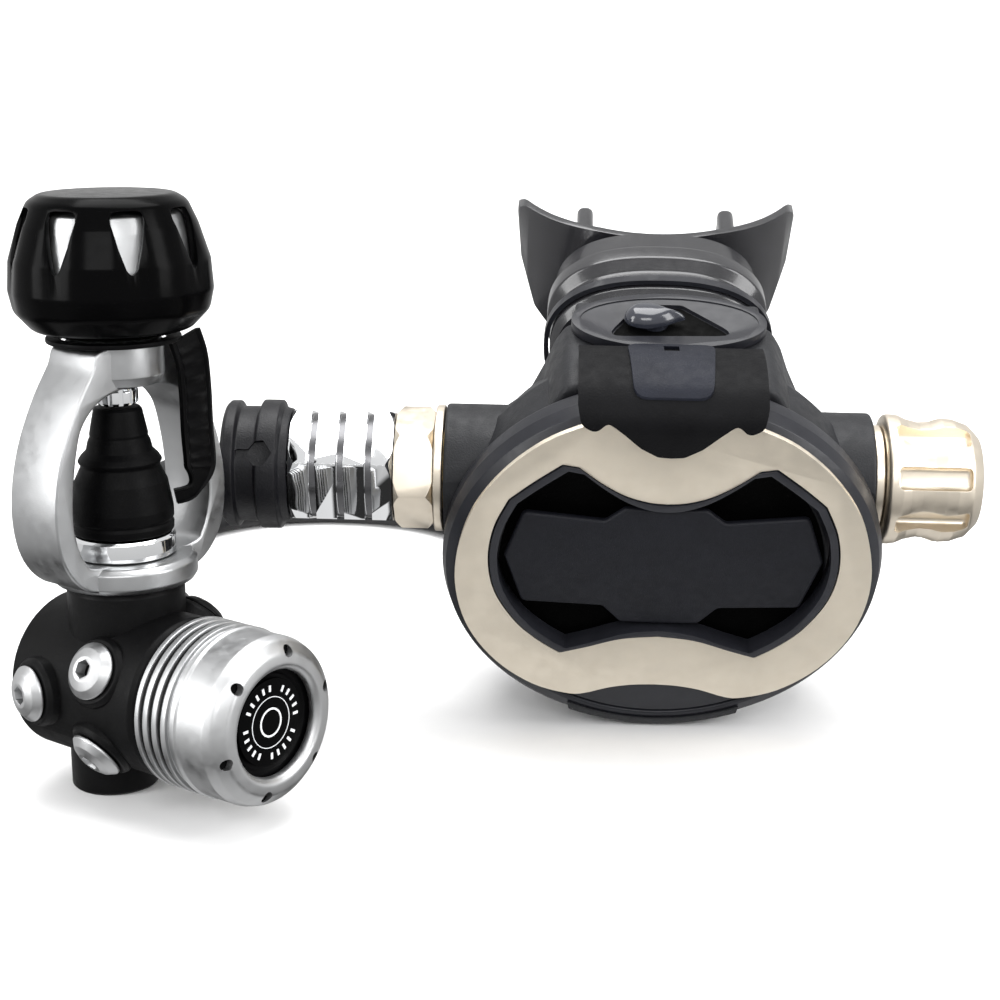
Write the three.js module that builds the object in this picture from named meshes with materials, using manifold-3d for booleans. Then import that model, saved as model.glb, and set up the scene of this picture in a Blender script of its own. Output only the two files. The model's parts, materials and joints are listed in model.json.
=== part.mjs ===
// Scuba regulator set: a yoke first stage, an adjustable second stage and the low-pressure hose between them.
// Millimetres, +Z up. The origin is where the yoke's axis meets the surface that the set stands on.
// The first stage is drawn in a frame turned about Z, its diaphragm axis along that frame's -Y.
// The second stage is drawn in a frame pitched about X: X is its barrel axis, Y runs back to the mouthpiece.
import * as THREE from "three";
import { mergeVertices } from "three/addons/utils/BufferGeometryUtils.js";
import Module from "manifold-3d";

const wasm = await Module();
wasm.setup();

// ---- driving dimensions ----
const ROUND = { wide: 20, mid: 16, small: 12, fine: 8 }; // sides of a turned piece, by its size
const GAP = 0.3; // between two pieces that touch on the real object
const RAD = Math.PI / 180;
const FIRST_TURN = 53 * RAD; // how far the first stage is turned about Z
const SECOND_PITCH = 25 * RAD; // how far the second stage leans back about its barrel
const SECOND_YAW = -2 * RAD; // and how far it is turned about Z
const SECOND_ROLL = 1 * RAD; // how far the barrel's right end hangs lower
const SECOND_AT = [112.7, 34, 60.1]; // where the second stage's barrel axis meets its middle plane
const AXIS_Z = 23.5; // height of the first stage's diaphragm axis
const NECK_TOP = 45.9; // top of the first stage body's neck
const YOKE_HALF_DEPTH = 6.8; // half of the yoke arms' width
const YOKE_TOP = 96.1; // top face of the yoke's boss
const KNOB_BASE = 96.7; // lowest point of the yoke knob
const SCREW_R = 4.4; // yoke screw
const RETAINER_R = 8; // shank of the retainer that holds the yoke to the body
const CAP_R = 17.2; // outer radius of the diaphragm cap
const PORT_R = 4.2; // bore of a port
const BARREL_R = 14.4; // outer radius of the second stage's cross tube
const BORE_R = 10.3; // bore of that cross tube
const TUBE_END = 45.2; // how far right that tube reaches
const COVER_CENTRE = -10.8; // height of the front cover's centre below the barrel axis
const COVER = [47.6, 46.2]; // half-width and half-height of the front cover
const HOSE_R = 5; // low-pressure hose
const PROTECTOR_R = 14.3; // collar of the sleeve over the hose's end

// ---- materials ----
const material = (color, roughness, metalness = 0) =>
  new THREE.MeshStandardMaterial({ color, roughness, metalness });
const FINISH = {
  satin: material(0xb9bbbd, 0.35, 1),
  chrome: material(0xe2e4e6, 0.08, 1),
  champagne: material(0xcfc0a4, 0.3, 1),
  brass: material(0xb08d4a, 0.35, 1),
  steel: material(0x9a9da0, 0.3, 1),
  black_metal: material(0x141416, 0.45, 0.6),
  plastic: material(0x1b1c20, 0.55),
  gloss: material(0x0c0c0d, 0.15),
  rubber: material(0x101012, 0.7),
  silicone: material(0x161618, 0.4),
  filter: material(0x9c7f4c, 0.9),
};

// ---- shape tools ----
function solid(geometry) {
  const bare = new THREE.BufferGeometry();
  bare.setAttribute("position", geometry.getAttribute("position").clone());
  if (geometry.index) bare.setIndex(geometry.index.clone());
  const merged = mergeVertices(bare, 1e-4);
  const mesh = new wasm.Mesh({
    numProp: 3,
    vertProperties: new Float32Array(merged.attributes.position.array),
    triVerts: new Uint32Array(merged.index.array),
  });
  const made = new wasm.Manifold(mesh);
  if (made.volume() > 0) return made;
  mesh.triVerts = mesh.triVerts.map((_, i, all) => all[i - (i % 3) + [0, 2, 1][i % 3]]);
  return new wasm.Manifold(mesh);
}

function geometryOf(body) {
  const mesh = body.getMesh();
  const positions = new Float32Array(mesh.numVert * 3);
  for (let i = 0; i < mesh.numVert; i++) {
    const from = i * mesh.numProp;
    positions.set(mesh.vertProperties.subarray(from, from + 3), i * 3);
  }
  const geometry = new THREE.BufferGeometry();
  geometry.setAttribute("position", new THREE.BufferAttribute(positions, 3));
  geometry.setIndex(new THREE.BufferAttribute(new Uint32Array(mesh.triVerts), 1));
  return geometry;
}

// A turned piece about Z from [radius, height] points; a profile off the axis closes on itself.
function turned(profile, segments = ROUND.mid) {
  const points = profile.map(([r, z]) => new THREE.Vector2(Math.max(r, 0), z));
  if (profile[0][0] > 0 || profile.at(-1)[0] > 0) points.push(points[0].clone());
  const made = new THREE.LatheGeometry(points, segments);
  made.rotateX(Math.PI / 2);
  return made;
}

const rod = (r, from, to, segments = ROUND.small) =>
  turned([[0, from], [r, from], [r, to], [0, to]], segments);
const ring = (inner, outer, from, to, segments = ROUND.mid) =>
  turned([[inner, from], [outer, from], [outer, to], [inner, to]], segments);

// A prism along Z with a regular outline, flats across `across`.
const prism = (sides, across, from, to) => rod(across / 2 / Math.cos(Math.PI / sides), from, to, sides);

// A flat plate of a given outline in X and Y, `depth` thick from z = 0 up, with holes cut right through.
function plate(outline, depth, holes = []) {
  const flat = (points, thick) => new THREE.ExtrudeGeometry(
    new THREE.Shape(points.map(([x, y]) => new THREE.Vector2(x, y))), { depth: thick, bevelEnabled: false });
  if (!holes.length) return flat(outline, depth);
  const tools = holes.map((hole) => flat(hole, depth + 2).translate(0, 0, -1));
  return geometryOf(cut(solid(flat(outline, depth)), ...tools));
}

// Both halves of an outline given from the middle outwards, x rising.
const mirror = (half) => [...half, ...half.slice(1, -1).reverse().map(([x, z]) => [-x, z])];

const box = (x, y, z, at = [0, 0, 0]) => new THREE.BoxGeometry(x, y, z).translate(...at);
const ellipse = (a, b, n, centre = 0) =>
  Array.from({ length: n }, (_, i) => {
    const t = (i / n) * 2 * Math.PI;
    return [a * Math.cos(t), centre + b * Math.sin(t)];
  });

// Turns a piece drawn about +Z so that its +Z runs along `direction`, then moves it to `at`.
function aimed(geometry, direction, at = [0, 0, 0]) {
  const turn = new THREE.Quaternion().setFromUnitVectors(
    new THREE.Vector3(0, 0, 1),
    new THREE.Vector3(...direction).normalize(),
  );
  return geometry.applyQuaternion(turn).translate(...at);
}
const forwards = (geometry, at = [0, 0, 0]) => aimed(geometry, [0, -1, 0], at);
const sideways = (geometry, at = [0, 0, 0]) => aimed(geometry, [1, 0, 0], at);

// A plate drawn in X and Z, standing up, its thickness from `y` backwards.
const upright = (geometry, y) => geometry.rotateX(Math.PI / 2).translate(0, y, 0);

const cut = (base, ...tools) => tools.reduce((all, tool) => all.subtract(solid(tool)), base);
const join = (base, ...more) => more.reduce((all, piece) => all.add(solid(piece)), base);

// A round bar of `sides` corners swept along points.
function swept(points, radius, sides, steps, closed = false) {
  const curve = new THREE.CatmullRomCurve3(
    points.map((p) => new THREE.Vector3(...p)), closed, "centripetal");
  const section = new THREE.Shape(
    Array.from({ length: sides }, (_, i) => {
      const t = (i / sides) * 2 * Math.PI;
      return new THREE.Vector2(radius * Math.cos(t), radius * Math.sin(t));
    }));
  return new THREE.ExtrudeGeometry(section, { steps, extrudePath: curve, bevelEnabled: false });
}

// A coil spring about Z.
function spring(radius, wire, from, to, turns) {
  const perTurn = 8;
  const count = turns * perTurn;
  const points = Array.from({ length: count + 1 }, (_, i) => {
    const t = (i / perTurn) * 2 * Math.PI;
    return [radius * Math.cos(t), radius * Math.sin(t), from + wire + ((to - from - 2 * wire) * i) / count];
  });
  return swept(points, wire, 4, count);
}

const regulator = new THREE.Group();
const firstStage = new THREE.Group();
firstStage.rotation.z = FIRST_TURN;
const secondStage = new THREE.Group();
secondStage.position.set(...SECOND_AT);
secondStage.rotation.set(SECOND_PITCH, SECOND_ROLL, SECOND_YAW, "ZYX");
const hoseInlet = new THREE.Group(); // the fittings on the barrel's open end, their +X towards the barrel
hoseInlet.position.set(...SECOND_AT);
hoseInlet.rotation.set(0, SECOND_ROLL, SECOND_YAW, "ZYX");
regulator.add(firstStage, secondStage, hoseInlet);

function add(group, name, shape, finish) {
  const body = shape.isBufferGeometry ? solid(shape) : shape;
  const mesh = new THREE.Mesh(geometryOf(body), FINISH[finish].clone());
  mesh.name = name;
  group.add(mesh);
}

// ---- first stage: yoke, screw and knob ----
function yoke() {
  const outer = [[0, 46.2], [11.6, 46.6], [17.3, 49], [21.2, 54.3], [22.7, 61.4], [22.2, 69],
    [20, 77], [16, 85.1], [11.8, 91.3], [9.4, 95.1], [0, 95.1]];
  const inner = [[0, 51.5], [12.5, 51.8], [16, 54.2], [18, 60], [18, 67.5], [16.6, 76],
    [14.4, 81.5], [9, 85.6], [0, 87]];
  const arms = upright(plate(mirror(outer), 2 * YOKE_HALF_DEPTH, [mirror(inner)]), YOKE_HALF_DEPTH);
  const base = turned([[0, 46.2], [14, 46.2], [14.8, 47.4], [14.8, 50.4], [13.8, 51.5], [0, 51.5]]);
  const boss = turned([[0, 87], [9, 87], [9.8, 89], [9.8, 95.3], [9, YOKE_TOP], [0, YOKE_TOP]]);
  const seatBore = rod(RETAINER_R + GAP, 40, 60, ROUND.mid);
  const screwBore = rod(SCREW_R + GAP, 80, 100);
  return cut(join(solid(arms), base, boss), seatBore, screwBore);
}

// Outer profile of the knob, and the metal core inside it.
const KNOB = [[10.7, 0], [15.8, 1.4], [19.3, 5], [20.2, 9], [19.8, 15], [17.6, 22], [15.6, 26.4],
  [13.2, 27.9]];
const KNOB_WINDOWS = 8;
const WINDOW_PHASE = 24 * RAD; // where the first window stands, from the set's front
function knobGrip() {
  const hollow = [[0, 25.6], [13.6, 25.6], [15.2, 24.6], [16.3, 21], [17.9, 14], [18.5, 9], [17.2, 4.5],
    [10.7, 3], [10.7, -1], [0, -1]];
  const raised = (profile) => profile.map(([r, z]) => [r, z + KNOB_BASE]);
  const tear = [[0, 13.6], [1.9, 17.6], [3.2, 23], [2.4, 25.4], [-2.4, 25.4], [-3.2, 23], [-1.9, 17.6]];
  let made = cut(solid(turned(raised([[0, 0], ...KNOB, [0, 27.9]]), ROUND.wide)),
    turned(raised(hollow), ROUND.wide));
  for (let i = 0; i < KNOB_WINDOWS; i++) {
    const angle = (i / KNOB_WINDOWS) * 2 * Math.PI - FIRST_TURN + WINDOW_PHASE;
    made = cut(made, upright(plate(raised(tear), 8), -14).rotateZ(angle));
  }
  return made;
}
function knobCore() {
  const profile = [[0, 3.4], [10.4, 3.4], [16.8, 5.2], [18.1, 9], [17.5, 14], [15.9, 21],
    [14.8, 24.2], [13.2, 25.2], [0, 25.2]];
  const core = solid(turned(profile.map(([r, z]) => [r, z + KNOB_BASE]), ROUND.wide));
  const screwBore = rod(SCREW_R + GAP, 80, KNOB_BASE + 19);
  const recess = ring(7, 14.6, 80, KNOB_BASE + 14);
  return cut(core, screwBore, recess);
}

add(firstStage, "yoke", yoke(), "satin");
add(firstStage, "knob_grip", knobGrip(), "rubber");
add(firstStage, "knob_core", knobCore(), "satin");
const screw = [[0, 86.4], [3.8, 86.4], [SCREW_R, 87], [SCREW_R, 115.3], [0, 115.3]];
add(firstStage, "yoke_screw",
  cut(solid(turned(screw, ROUND.small)), rod(1.8, 86, 91.5, ROUND.fine)), "steel");
// The pad turns on its own in the tip of the screw; six notches round its rim.
function swivelTip() {
  const pad = [[0, 82.4], [3.6, 82.4], [4.3, 83.1], [4.3, 85.4], [3.6, 86], [1.4, 86], [1.4, 91], [0, 91]];
  let made = solid(turned(pad, ROUND.small));
  for (let i = 0; i < 6; i++) {
    made = cut(made, box(1.2, 1.6, 2, [4.3, 0, 84.3]).rotateZ((i * Math.PI) / 3));
  }
  return made;
}
add(firstStage, "screw_swivel_pad", swivelTip(), "chrome");

// ---- first stage: inlet ----
function retainer() {
  const outside = [[0, 38.2], [7.6, 38.2], [RETAINER_R, 38.8], [RETAINER_R, 51.8], [10.6, 51.8],
    [10.6, 55.4], [10, 56], [0, 56]];
  const bore = rod(4.3, 30, 60);
  const groove = ring(5.6, 7.4, 54.8, 57);
  return cut(solid(turned(outside)), bore, groove);
}
add(firstStage, "yoke_retainer", retainer(), "chrome");
add(firstStage, "inlet_filter", turned([[0, 43.2], [2, 43.2], [4, 52.8], [0, 52.8]], ROUND.small), "filter");
const oring = ellipse(0.6, 0.6, 6, 55.5).map(([x, z]) => [6.5 + x, z]);
add(firstStage, "inlet_oring", turned(oring), "rubber");
const capProfile = [[0, 56.4], [10.3, 56.4], [10.4, 61.2], [9.4, 66.8], [7.9, 70], [8.5, 71], [7.8, 72.1],
  [6.7, 73.2], [4.9, 81.4], [4.4, 82], [0, 82]];
add(firstStage, "dust_cap", cut(solid(turned(capProfile)), rod(7.6, 50, 57.4)), "rubber");

// The strap hangs from a ring under the knob, lies down the front of a yoke arm and turns in to the dust cap.
function strap() {
  const path = [[10, -9.6, 95.9], [11.4, -10, 91], [12.6, -9.4, 84], [13.2, -8.9, 76], [13.4, -9.1, 69.6],
    [12.6, -9.3, 66], [10.7, -9, 63.6], [7.9, -7.4, 62.8]];
  const curve = new THREE.CatmullRomCurve3(path.map((p) => new THREE.Vector3(...p)), false, "centripetal");
  const steps = 16;
  const half = { thick: 0.9, wide: 4.2, tail: 1.7 };
  const corners = [];
  for (let i = 0; i <= steps; i++) {
    const at = curve.getPointAt(i / steps);
    const along = curve.getTangentAt(i / steps);
    const narrowing = Math.min(1, Math.max(0, (i / steps - 0.58) / 0.24));
    const wide = new THREE.Vector3().crossVectors(along, new THREE.Vector3(0, 1, 0)).normalize();
    const out = new THREE.Vector3().crossVectors(wide, along).normalize();
    const width = half.wide + (half.tail - half.wide) * narrowing;
    for (const [a, b] of [[-1, -1], [1, -1], [1, 1], [-1, 1]]) {
      corners.push(at.clone().addScaledVector(out, a * half.thick).addScaledVector(wide, b * width));
    }
  }
  const positions = new Float32Array(corners.flatMap((p) => [p.x, p.y, p.z]));
  const index = [0, 1, 2, 0, 2, 3];
  for (let i = 0; i < steps; i++) {
    for (let k = 0; k < 4; k++) {
      const a = i * 4 + k;
      const b = i * 4 + ((k + 1) % 4);
      index.push(a, a + 4, b, b, a + 4, b + 4);
    }
  }
  const end = steps * 4;
  index.push(end, end + 2, end + 1, end, end + 3, end + 2);
  const band = new THREE.BufferGeometry();
  band.setAttribute("position", new THREE.BufferAttribute(positions, 3));
  band.setIndex(index);
  return join(solid(band), ring(10.6, 13.4, 95.4, 96.4));
}
add(firstStage, "dust_cap_strap", strap(), "rubber");

// ---- first stage: body and ports ----
// Ports: the point on the body's axis that each starts from, its direction, and where its face is.
const PORTS = {
  lp_plug_upper: { from: [0, -6.5, AXIS_Z], way: [-1, 0, 0.5], face: 17.4 },
  lp_plug_lower: { from: [0, -6.5, AXIS_Z], way: [-1, 0.1, -0.72], face: 17.4 },
  lp_plug_rear: { from: [0, 6.5, AXIS_Z], way: [-1, 0.2, 0.02], face: 18.2 },
  gauge_port_plug: { from: [0, -6, AXIS_Z], way: [0.78, 0, 0.62], face: 18.6 },
};
const HOSE_PORT = { from: [2, 2, AXIS_Z], way: [Math.sin(FIRST_TURN), Math.cos(FIRST_TURN), 0], face: 21.5 };
const unit = (v) => {
  const length = Math.hypot(...v);
  return v.map((c) => c / length);
};
const axial = (shape) => forwards(shape, [0, 0, AXIS_Z]); // along the diaphragm axis, +Z to the front
function body() {
  const barrel = axial(turned([[0, -19], [15.2, -19], [16.8, -17.4], [16.8, 17.2], [16, 18.3], [0, 18.3]],
    ROUND.wide));
  const neck = turned([[0, 26], [12, 26], [12, 44.6], [11.4, NECK_TOP], [0, NECK_TOP]]);
  const foot = turned([[0, 0], [8.6, 0], [9.2, 0.6], [9.2, 10], [0, 10]]).translate(0, 6, 0);
  const ports = [...Object.values(PORTS), HOSE_PORT];
  const bosses = ports.map(({ from, way, face }) =>
    aimed(turned([[0, 4], [7.2, 4], [7.2, face - 1], [6.6, face], [0, face]], ROUND.small), way, from));
  const threads = ports.map(({ from, way, face }) =>
    aimed(rod(PORT_R, face - 7, face + 9, ROUND.fine), way, from));
  const inletBore = rod(RETAINER_R + GAP, 37.8, 60, ROUND.mid);
  const airway = rod(2.6, AXIS_Z, 38.5, ROUND.fine);
  const diaphragmChamber = axial(rod(12.6, 11.4, 30, ROUND.mid));
  const pinBore = axial(rod(1.6, -3, 14, ROUND.fine));
  const poppetChamber = axial(rod(6.3, -30, 0));
  return cut(join(solid(barrel), neck, foot, ...bosses),
    ...threads, inletBore, airway, diaphragmChamber, pinBore, poppetChamber);
}
function plug() {
  const button = [[0, -5], [3.5, -5], [3.9, -4.5], [3.9, 0.3], [5.8, 0.3], [5.8, 1.2], [3.6, 2.9], [0, 2.9]];
  return cut(solid(turned(button, ROUND.small)), prism(6, 3.4, 0, 4));
}
add(firstStage, "first_stage_body", body(), "black_metal");
for (const [name, port] of Object.entries(PORTS)) {
  const at = port.from.map((c, i) => c + unit(port.way)[i] * port.face);
  const finish = name === "gauge_port_plug" ? "black_metal" : "satin";
  add(firstStage, name, aimed(geometryOf(plug()), port.way, at), finish);
}
function rearPlug() {
  const head = [[0, -22.6], [9.4, -22.6], [10.2, -21.6], [10.2, -19.3], [6, -19.3], [6, -12], [0, -12]];
  const keyHole = prism(6, 6, -24, -20.4);
  const poppetGuide = rod(3.3, -17, -11, ROUND.fine);
  return cut(solid(axial(turned(head))), axial(keyHole), axial(poppetGuide));
}
add(firstStage, "rear_plug", rearPlug(), "black_metal");

// ---- first stage: diaphragm end, back to front along the diaphragm axis ----
function clamp() {
  const profile = [[9.6, 18.6], [15.4, 18.6], [17.5, 20.2]];
  const grooves = { first: 21.2, pitch: 2.5, count: 4, wide: 1, depth: 0.8 };
  for (let i = 0; i < grooves.count; i++) {
    const at = grooves.first + i * grooves.pitch;
    profile.push([17.5, at], [17.5 - grooves.depth, at + 0.3], [17.5 - grooves.depth, at + grooves.wide]);
    profile.push([17.5, at + grooves.wide + 0.3]);
  }
  profile.splice(-1, 1, [17.5 - grooves.depth, 30.5], [9.6, 30.5]);
  return join(solid(axial(turned(profile, ROUND.wide))), axial(ring(9.6, 12.2, 14.4, 19)));
}
function sealCap() {
  const profile = [[13.6, 30.8], [17.7, 30.8], [CAP_R, 31.5], [CAP_R, 39.5], [15.6, 41.4], [13.6, 42.3],
    [12, 42.5], [11, 41.7], [10.8, 39.9], [13.6, 39.9]];
  const holes = Array.from({ length: 6 }, (_, i) => {
    const t = (i * 60 + 16) * RAD;
    return axial(rod(1.1, 39.1, 50, ROUND.fine).translate(15.5 * Math.cos(t), 15.5 * Math.sin(t), 0));
  });
  return cut(solid(axial(turned(profile, ROUND.wide))), ...holes);
}
add(firstStage, "diaphragm_clamp", clamp(), "satin");
add(firstStage, "seal_cap", sealCap(), "satin");

// Each turned piece inside the first stage: its profile, its sides and its finish.
const INSIDE_FIRST = {
  seal_diaphragm: [[[0, 38.1], [13.2, 38.1], [13.2, 39.5], [10.2, 39.5], [9.6, 39.1], [0, 39.1]],
    ROUND.wide, "rubber"],
  badge_disc: [[[0, 39.4], [8.9, 39.4], [8.9, 40], [0, 40.1]], ROUND.wide, "gloss"],
  load_transmitter: [[[0, 17.3], [2.6, 17.3], [2.6, 35.9], [9, 36.7], [9, 37.8], [0, 37.8]],
    ROUND.small, "plastic"],
  main_diaphragm: [[[0, 12.9], [12.2, 12.9], [12.2, 13.8], [8.6, 14], [8.4, 15.3], [6, 15.4],
    [5.6, 17], [0, 17]], ROUND.mid, "rubber"],
  valve_pin: [[[0, 0.6], [0.9, 0.6], [0.9, 12.2], [4.6, 12.2], [4.6, 12.6], [0, 12.5]], ROUND.fine, "steel"],
  first_stage_poppet: [[[0, -13.6], [2.6, -13.6], [2.6, -7], [4, -6.6], [4, -0.5], [0, -0.4]],
    ROUND.small, "brass"],
};
for (const [name, [profile, sides, finish]] of Object.entries(INSIDE_FIRST)) {
  add(firstStage, name, axial(turned(profile, sides)), finish);
}
const keySlot = box(30, 2, 1.6, [0, 0, 32.4]);
add(firstStage, "spring_adjuster", cut(solid(axial(ring(5, 9.2, 28.6, 32.4))), axial(keySlot)), "brass");
add(firstStage, "main_spring", axial(spring(7.2, 0.85, 15.7, 28.3, 4)), "steel");
add(firstStage, "poppet_spring", axial(spring(3.9, 0.5, -11.7, -7.1, 3)), "steel");

// ---- second stage: case, cover and front ----
// Turned pieces about the local Y axis, [radius, y], pressed a little flat to the cover's oval.
const backwards = (profile, segments) => turned(profile, segments).rotateX(-Math.PI / 2);
const oval = (profile, segments = ROUND.wide) =>
  backwards(profile, segments).scale(1, 1, COVER[1] / COVER[0]).translate(0, 0, COVER_CENTRE);
const CASE = [[45, -13], [44.6, 0], [41, 8], [37.8, 14], [31.4, 25.5], [26, 30.5]]; // outside of the bowl
const MOUTH = { a: 23, b: 15, at: 5 }; // half-width, half-height and height of the mouth tube
const VALVE_Y = 12; // how far back the exhaust valve sits
const SEAT_Z = -54.6; // the exhaust valve's seat
const SHELF_Z = 32.4; // the case's flat top, under the switch plate
const LEVER_AT = [-3, 8.4]; // where the venturi lever's shaft comes through that top
function caseShell() {
  const shoulders = mirror([[0, -8], [44, -8], [36.6, 8.5], [29.8, 14.4], [26.4, 22], [24.4, 27.6],
    [21.6, SHELF_Z], [0, SHELF_Z]]);
  const bowl = oval([[0, -13], ...CASE, [0, 30.5]]);
  const saddle = upright(plate(shoulders, 24), 11);
  const shelf = box(40, 21, 8, [0, 8.5, SHELF_Z - 4]);
  const mouthTube = upright(plate(ellipse(MOUTH.a, MOUTH.b, 16, MOUTH.at), 34), 44);
  const crossTube = sideways(rod(BARREL_R, -47.6, TUBE_END, ROUND.wide));
  const exhaustTube = rod(12, SEAT_Z, -30).translate(0, VALVE_Y, 0);
  const inside = oval([[0, -20], [36, -20], [36, -11], [42.2, -10], [42, 0], [38.4, 7.6], [35, 13.6],
    [28.8, 23.6], [24, 28], [0, 28]]);
  const coverSide = box(120, 20, 120, [0, -23, 0]);
  const aboveShelf = box(80, 40, 20, [0, 0, SHELF_Z + 10]);
  const breath = upright(plate(ellipse(MOUTH.a - 2.4, MOUTH.b - 2.4, 16, MOUTH.at), 40), 60);
  const crossBore = sideways(rod(BORE_R, -60, 60, ROUND.mid));
  const leverBore = rod(3.2, 20, 60, ROUND.fine).translate(...LEVER_AT, 0);
  const exhaustBore = rod(9.4, -70, -40).translate(0, VALVE_Y, 0);
  const hollow = cut(join(solid(bowl), saddle, shelf, mouthTube, crossTube, exhaustTube),
    inside, coverSide, aboveShelf, breath, crossBore, leverBore, exhaustBore);
  const spider = box(21, 3, 1.8, [0, VALVE_Y, SEAT_Z + 2]);
  const stemBore = rod(1.8, -60, -40, ROUND.fine).translate(0, VALVE_Y, 0);
  return cut(join(hollow, spider), stemBore);
}
add(secondStage, "second_stage_case", caseShell(), "plastic");

function cover() {
  const rim = [[42.4, -23.6], [44.8, -22.9], [46.7, -21], [COVER[0], -18], [COVER[0], -14.4], [46.4, -13.3],
    [38, -13.3], [38, -15.9], [35.6, -15.9], [35.6, -16.9], [8, -16.9], [8, -17.8], [35.6, -17.8],
    [41.2, -20.4], [41.2, -23.6]];
  const vent = forwards(rod(8, 10, 18.6, ROUND.fine), [0, 0, 22]);
  const vents = Array.from({ length: 6 }, (_, i) =>
    vent.clone().rotateY((i * Math.PI) / 3).translate(0, 0, COVER_CENTRE));
  return cut(solid(oval(rim)), ...vents);
}
add(secondStage, "front_cover", cover(), "plastic");

// Half outlines of the trim, x rising; the whole is mirrored.
const TRIM_OUTER = [[0, 23.8], [3, 24.2], [7, 26.8], [13.5, 32.2], [22, 29.4], [31, 22.6], [38.5, 13],
  [43.2, 1.5], [44.6, -9], [42.8, -22], [37, -33], [29, -40.4], [15.4, -43.6], [8, -41.4], [0, -40.6]];
const TRIM_INNER = [[0, 11.5], [8, 13.2], [16, 18.6], [20, 21], [23.6, 20.4], [33, 11.6], [36.6, 3],
  [37.4, -5], [36, -14], [31.6, -22.4], [23, -31.4], [19.6, -31.6], [12, -27.8], [0, -26]];
const PURGE = [[0, 8.6], [8.6, 8.9], [12.6, 5.4], [30, 7.4], [34, -4.6], [30.2, -17.6], [12.6, -18.4],
  [8.6, -23], [0, -23.2]];
// The outline drawn in towards the panel's middle by a distance.
const PANEL_MIDDLE = -5;
const shrunk = (outline, by) => outline.map(([x, z]) => {
  const scale = 1 - by / Math.hypot(x, z - PANEL_MIDDLE);
  return [x * scale, PANEL_MIDDLE + (z - PANEL_MIDDLE) * scale];
});
const atCover = [0, 0, COVER_CENTRE];
const trim = plate(mirror(TRIM_OUTER), 1.2, [mirror(TRIM_INNER)]);
add(secondStage, "cover_trim", upright(trim, -23.9), "champagne");
function coverFrame() {
  const opening = shrunk(mirror(TRIM_INNER), 2);
  const face = upright(plate(ellipse(40.7, 39.4, ROUND.wide, COVER_CENTRE), 2.7, [opening]), -20.7);
  const bezel = upright(plate(shrunk(mirror(TRIM_INNER), 0.4), 3, [opening]), -22.4);
  const tongueSlot = upright(plate([[-9, 23], [-9, 40], [9, 40], [9, 23]], 2), -22.6);
  return cut(join(solid(face), bezel), tongueSlot);
}
add(secondStage, "cover_frame", coverFrame(), "plastic");
function purge() {
  const face = upright(plate(mirror(PURGE), 1.8), -22.2);
  const plunger = forwards(rod(6.8, 17.1, 22.4), atCover);
  return join(solid(face), plunger);
}
add(secondStage, "purge_button", purge(), "plastic");
add(secondStage, "purge_spring", forwards(spring(9.4, 0.5, 18.1, 21.9, 2), atCover), "steel");
add(secondStage, "diaphragm_plate", oval([[0, -16.5], [18, -16.5], [18, -16], [0, -16]], ROUND.mid), "steel");
add(secondStage, "demand_diaphragm",
  oval([[0, -15.7], [22.4, -15.7], [24.4, -14.9], [33.4, -14.9], [34.4, -15.6], [37.5, -15.6], [37.5, -13.4],
    [36.4, -13.4], [36, -14.4], [33.4, -14], [24.4, -14], [22.4, -14.8], [0, -14.8]]), "silicone");

// ---- second stage: barrel, valve and adjuster ----
function airBarrel() {
  const tube = solid(sideways(ring(6.2, 9.9, -49.8, TUBE_END - 3.4)));
  const leverWindow = box(6, 12, 8, [0, -10, 0]);
  const airWindow = box(10, 8, 8, [22, 9, 0]);
  return cut(tube, leverWindow, airWindow);
}
add(secondStage, "air_barrel", airBarrel(), "brass");

// Each turned piece along the barrel: its profile and its finish.
const ALONG_BARREL = {
  inlet_washer: [[[10.3, -49.8], [14, -49.8], [14, -47.9], [10.3, -47.9]], "champagne"],
  inlet_orifice: [[[1.9, -40], [5.9, -40], [5.9, -33], [3, -31.4], [1.9, -31.4]], "steel"],
  poppet: [[[0, -31], [3.4, -31], [3.4, -28.6], [4.6, -28.2], [4.6, -24], [2.4, -23.6], [2.4, 1.4],
    [4.2, 1.4], [4.2, 2.8], [2.4, 2.8], [2.4, 4.4], [0, 4.4]], "plastic"],
  spring_seat: [[[0, 18], [5.8, 18], [5.8, 21.5], [4.6, 21.5], [4.6, 31], [2.9, 31], [2.9, 21.5],
    [0, 21.5]], "brass"],
  adjuster_collar: [[[3, 34.8], [5.8, 34.8], [5.8, 42.1], [9.9, 42.1], [9.9, 45.5], [11.8, 45.5],
    [11.8, 47.4], [3, 47.4]], "champagne"],
  adjuster_screw: [[[0, 24.5], [2.6, 24.5], [2.6, 58.8], [0, 58.8]], "steel"],
};
for (const [name, [profile, finish]] of Object.entries(ALONG_BARREL)) {
  add(secondStage, name, sideways(turned(profile, ROUND.small)), finish);
}
add(secondStage, "poppet_valve_spring", sideways(spring(4.4, 0.5, 5.2, 17.5, 4)), "steel");
function demandLever() {
  const arm = box(20, 1, 4.4, [-9, 0, 0]).rotateZ(4.5 * RAD).translate(0, -12, 0);
  const heel = box(1.6, 9, 4.4, [0, -7.3, 0]);
  return join(solid(arm), heel);
}
add(secondStage, "demand_lever", demandLever(), "steel");
function knobShape() {
  const profile = [[0, 47.7], [12.2, 47.7], [14.2, 48.3], [14.2, 50.8], [13.1, 53.8], [13.9, 60.8],
    [13.7, 63.8], [12, 67.8], [9.6, 69.2], [0, 69.6]];
  const waves = 8;
  const scoops = Array.from({ length: waves }, (_, i) => {
    const t = ((i + 0.5) / waves) * 2 * Math.PI;
    return sideways(rod(3.1, 49.8, 65.3, ROUND.fine).translate(15.2 * Math.cos(t), 15.2 * Math.sin(t), 0));
  });
  const screwBore = sideways(rod(2.9, 40, 59.8));
  return cut(solid(sideways(turned(profile, ROUND.wide))), ...scoops, screwBore);
}
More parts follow.
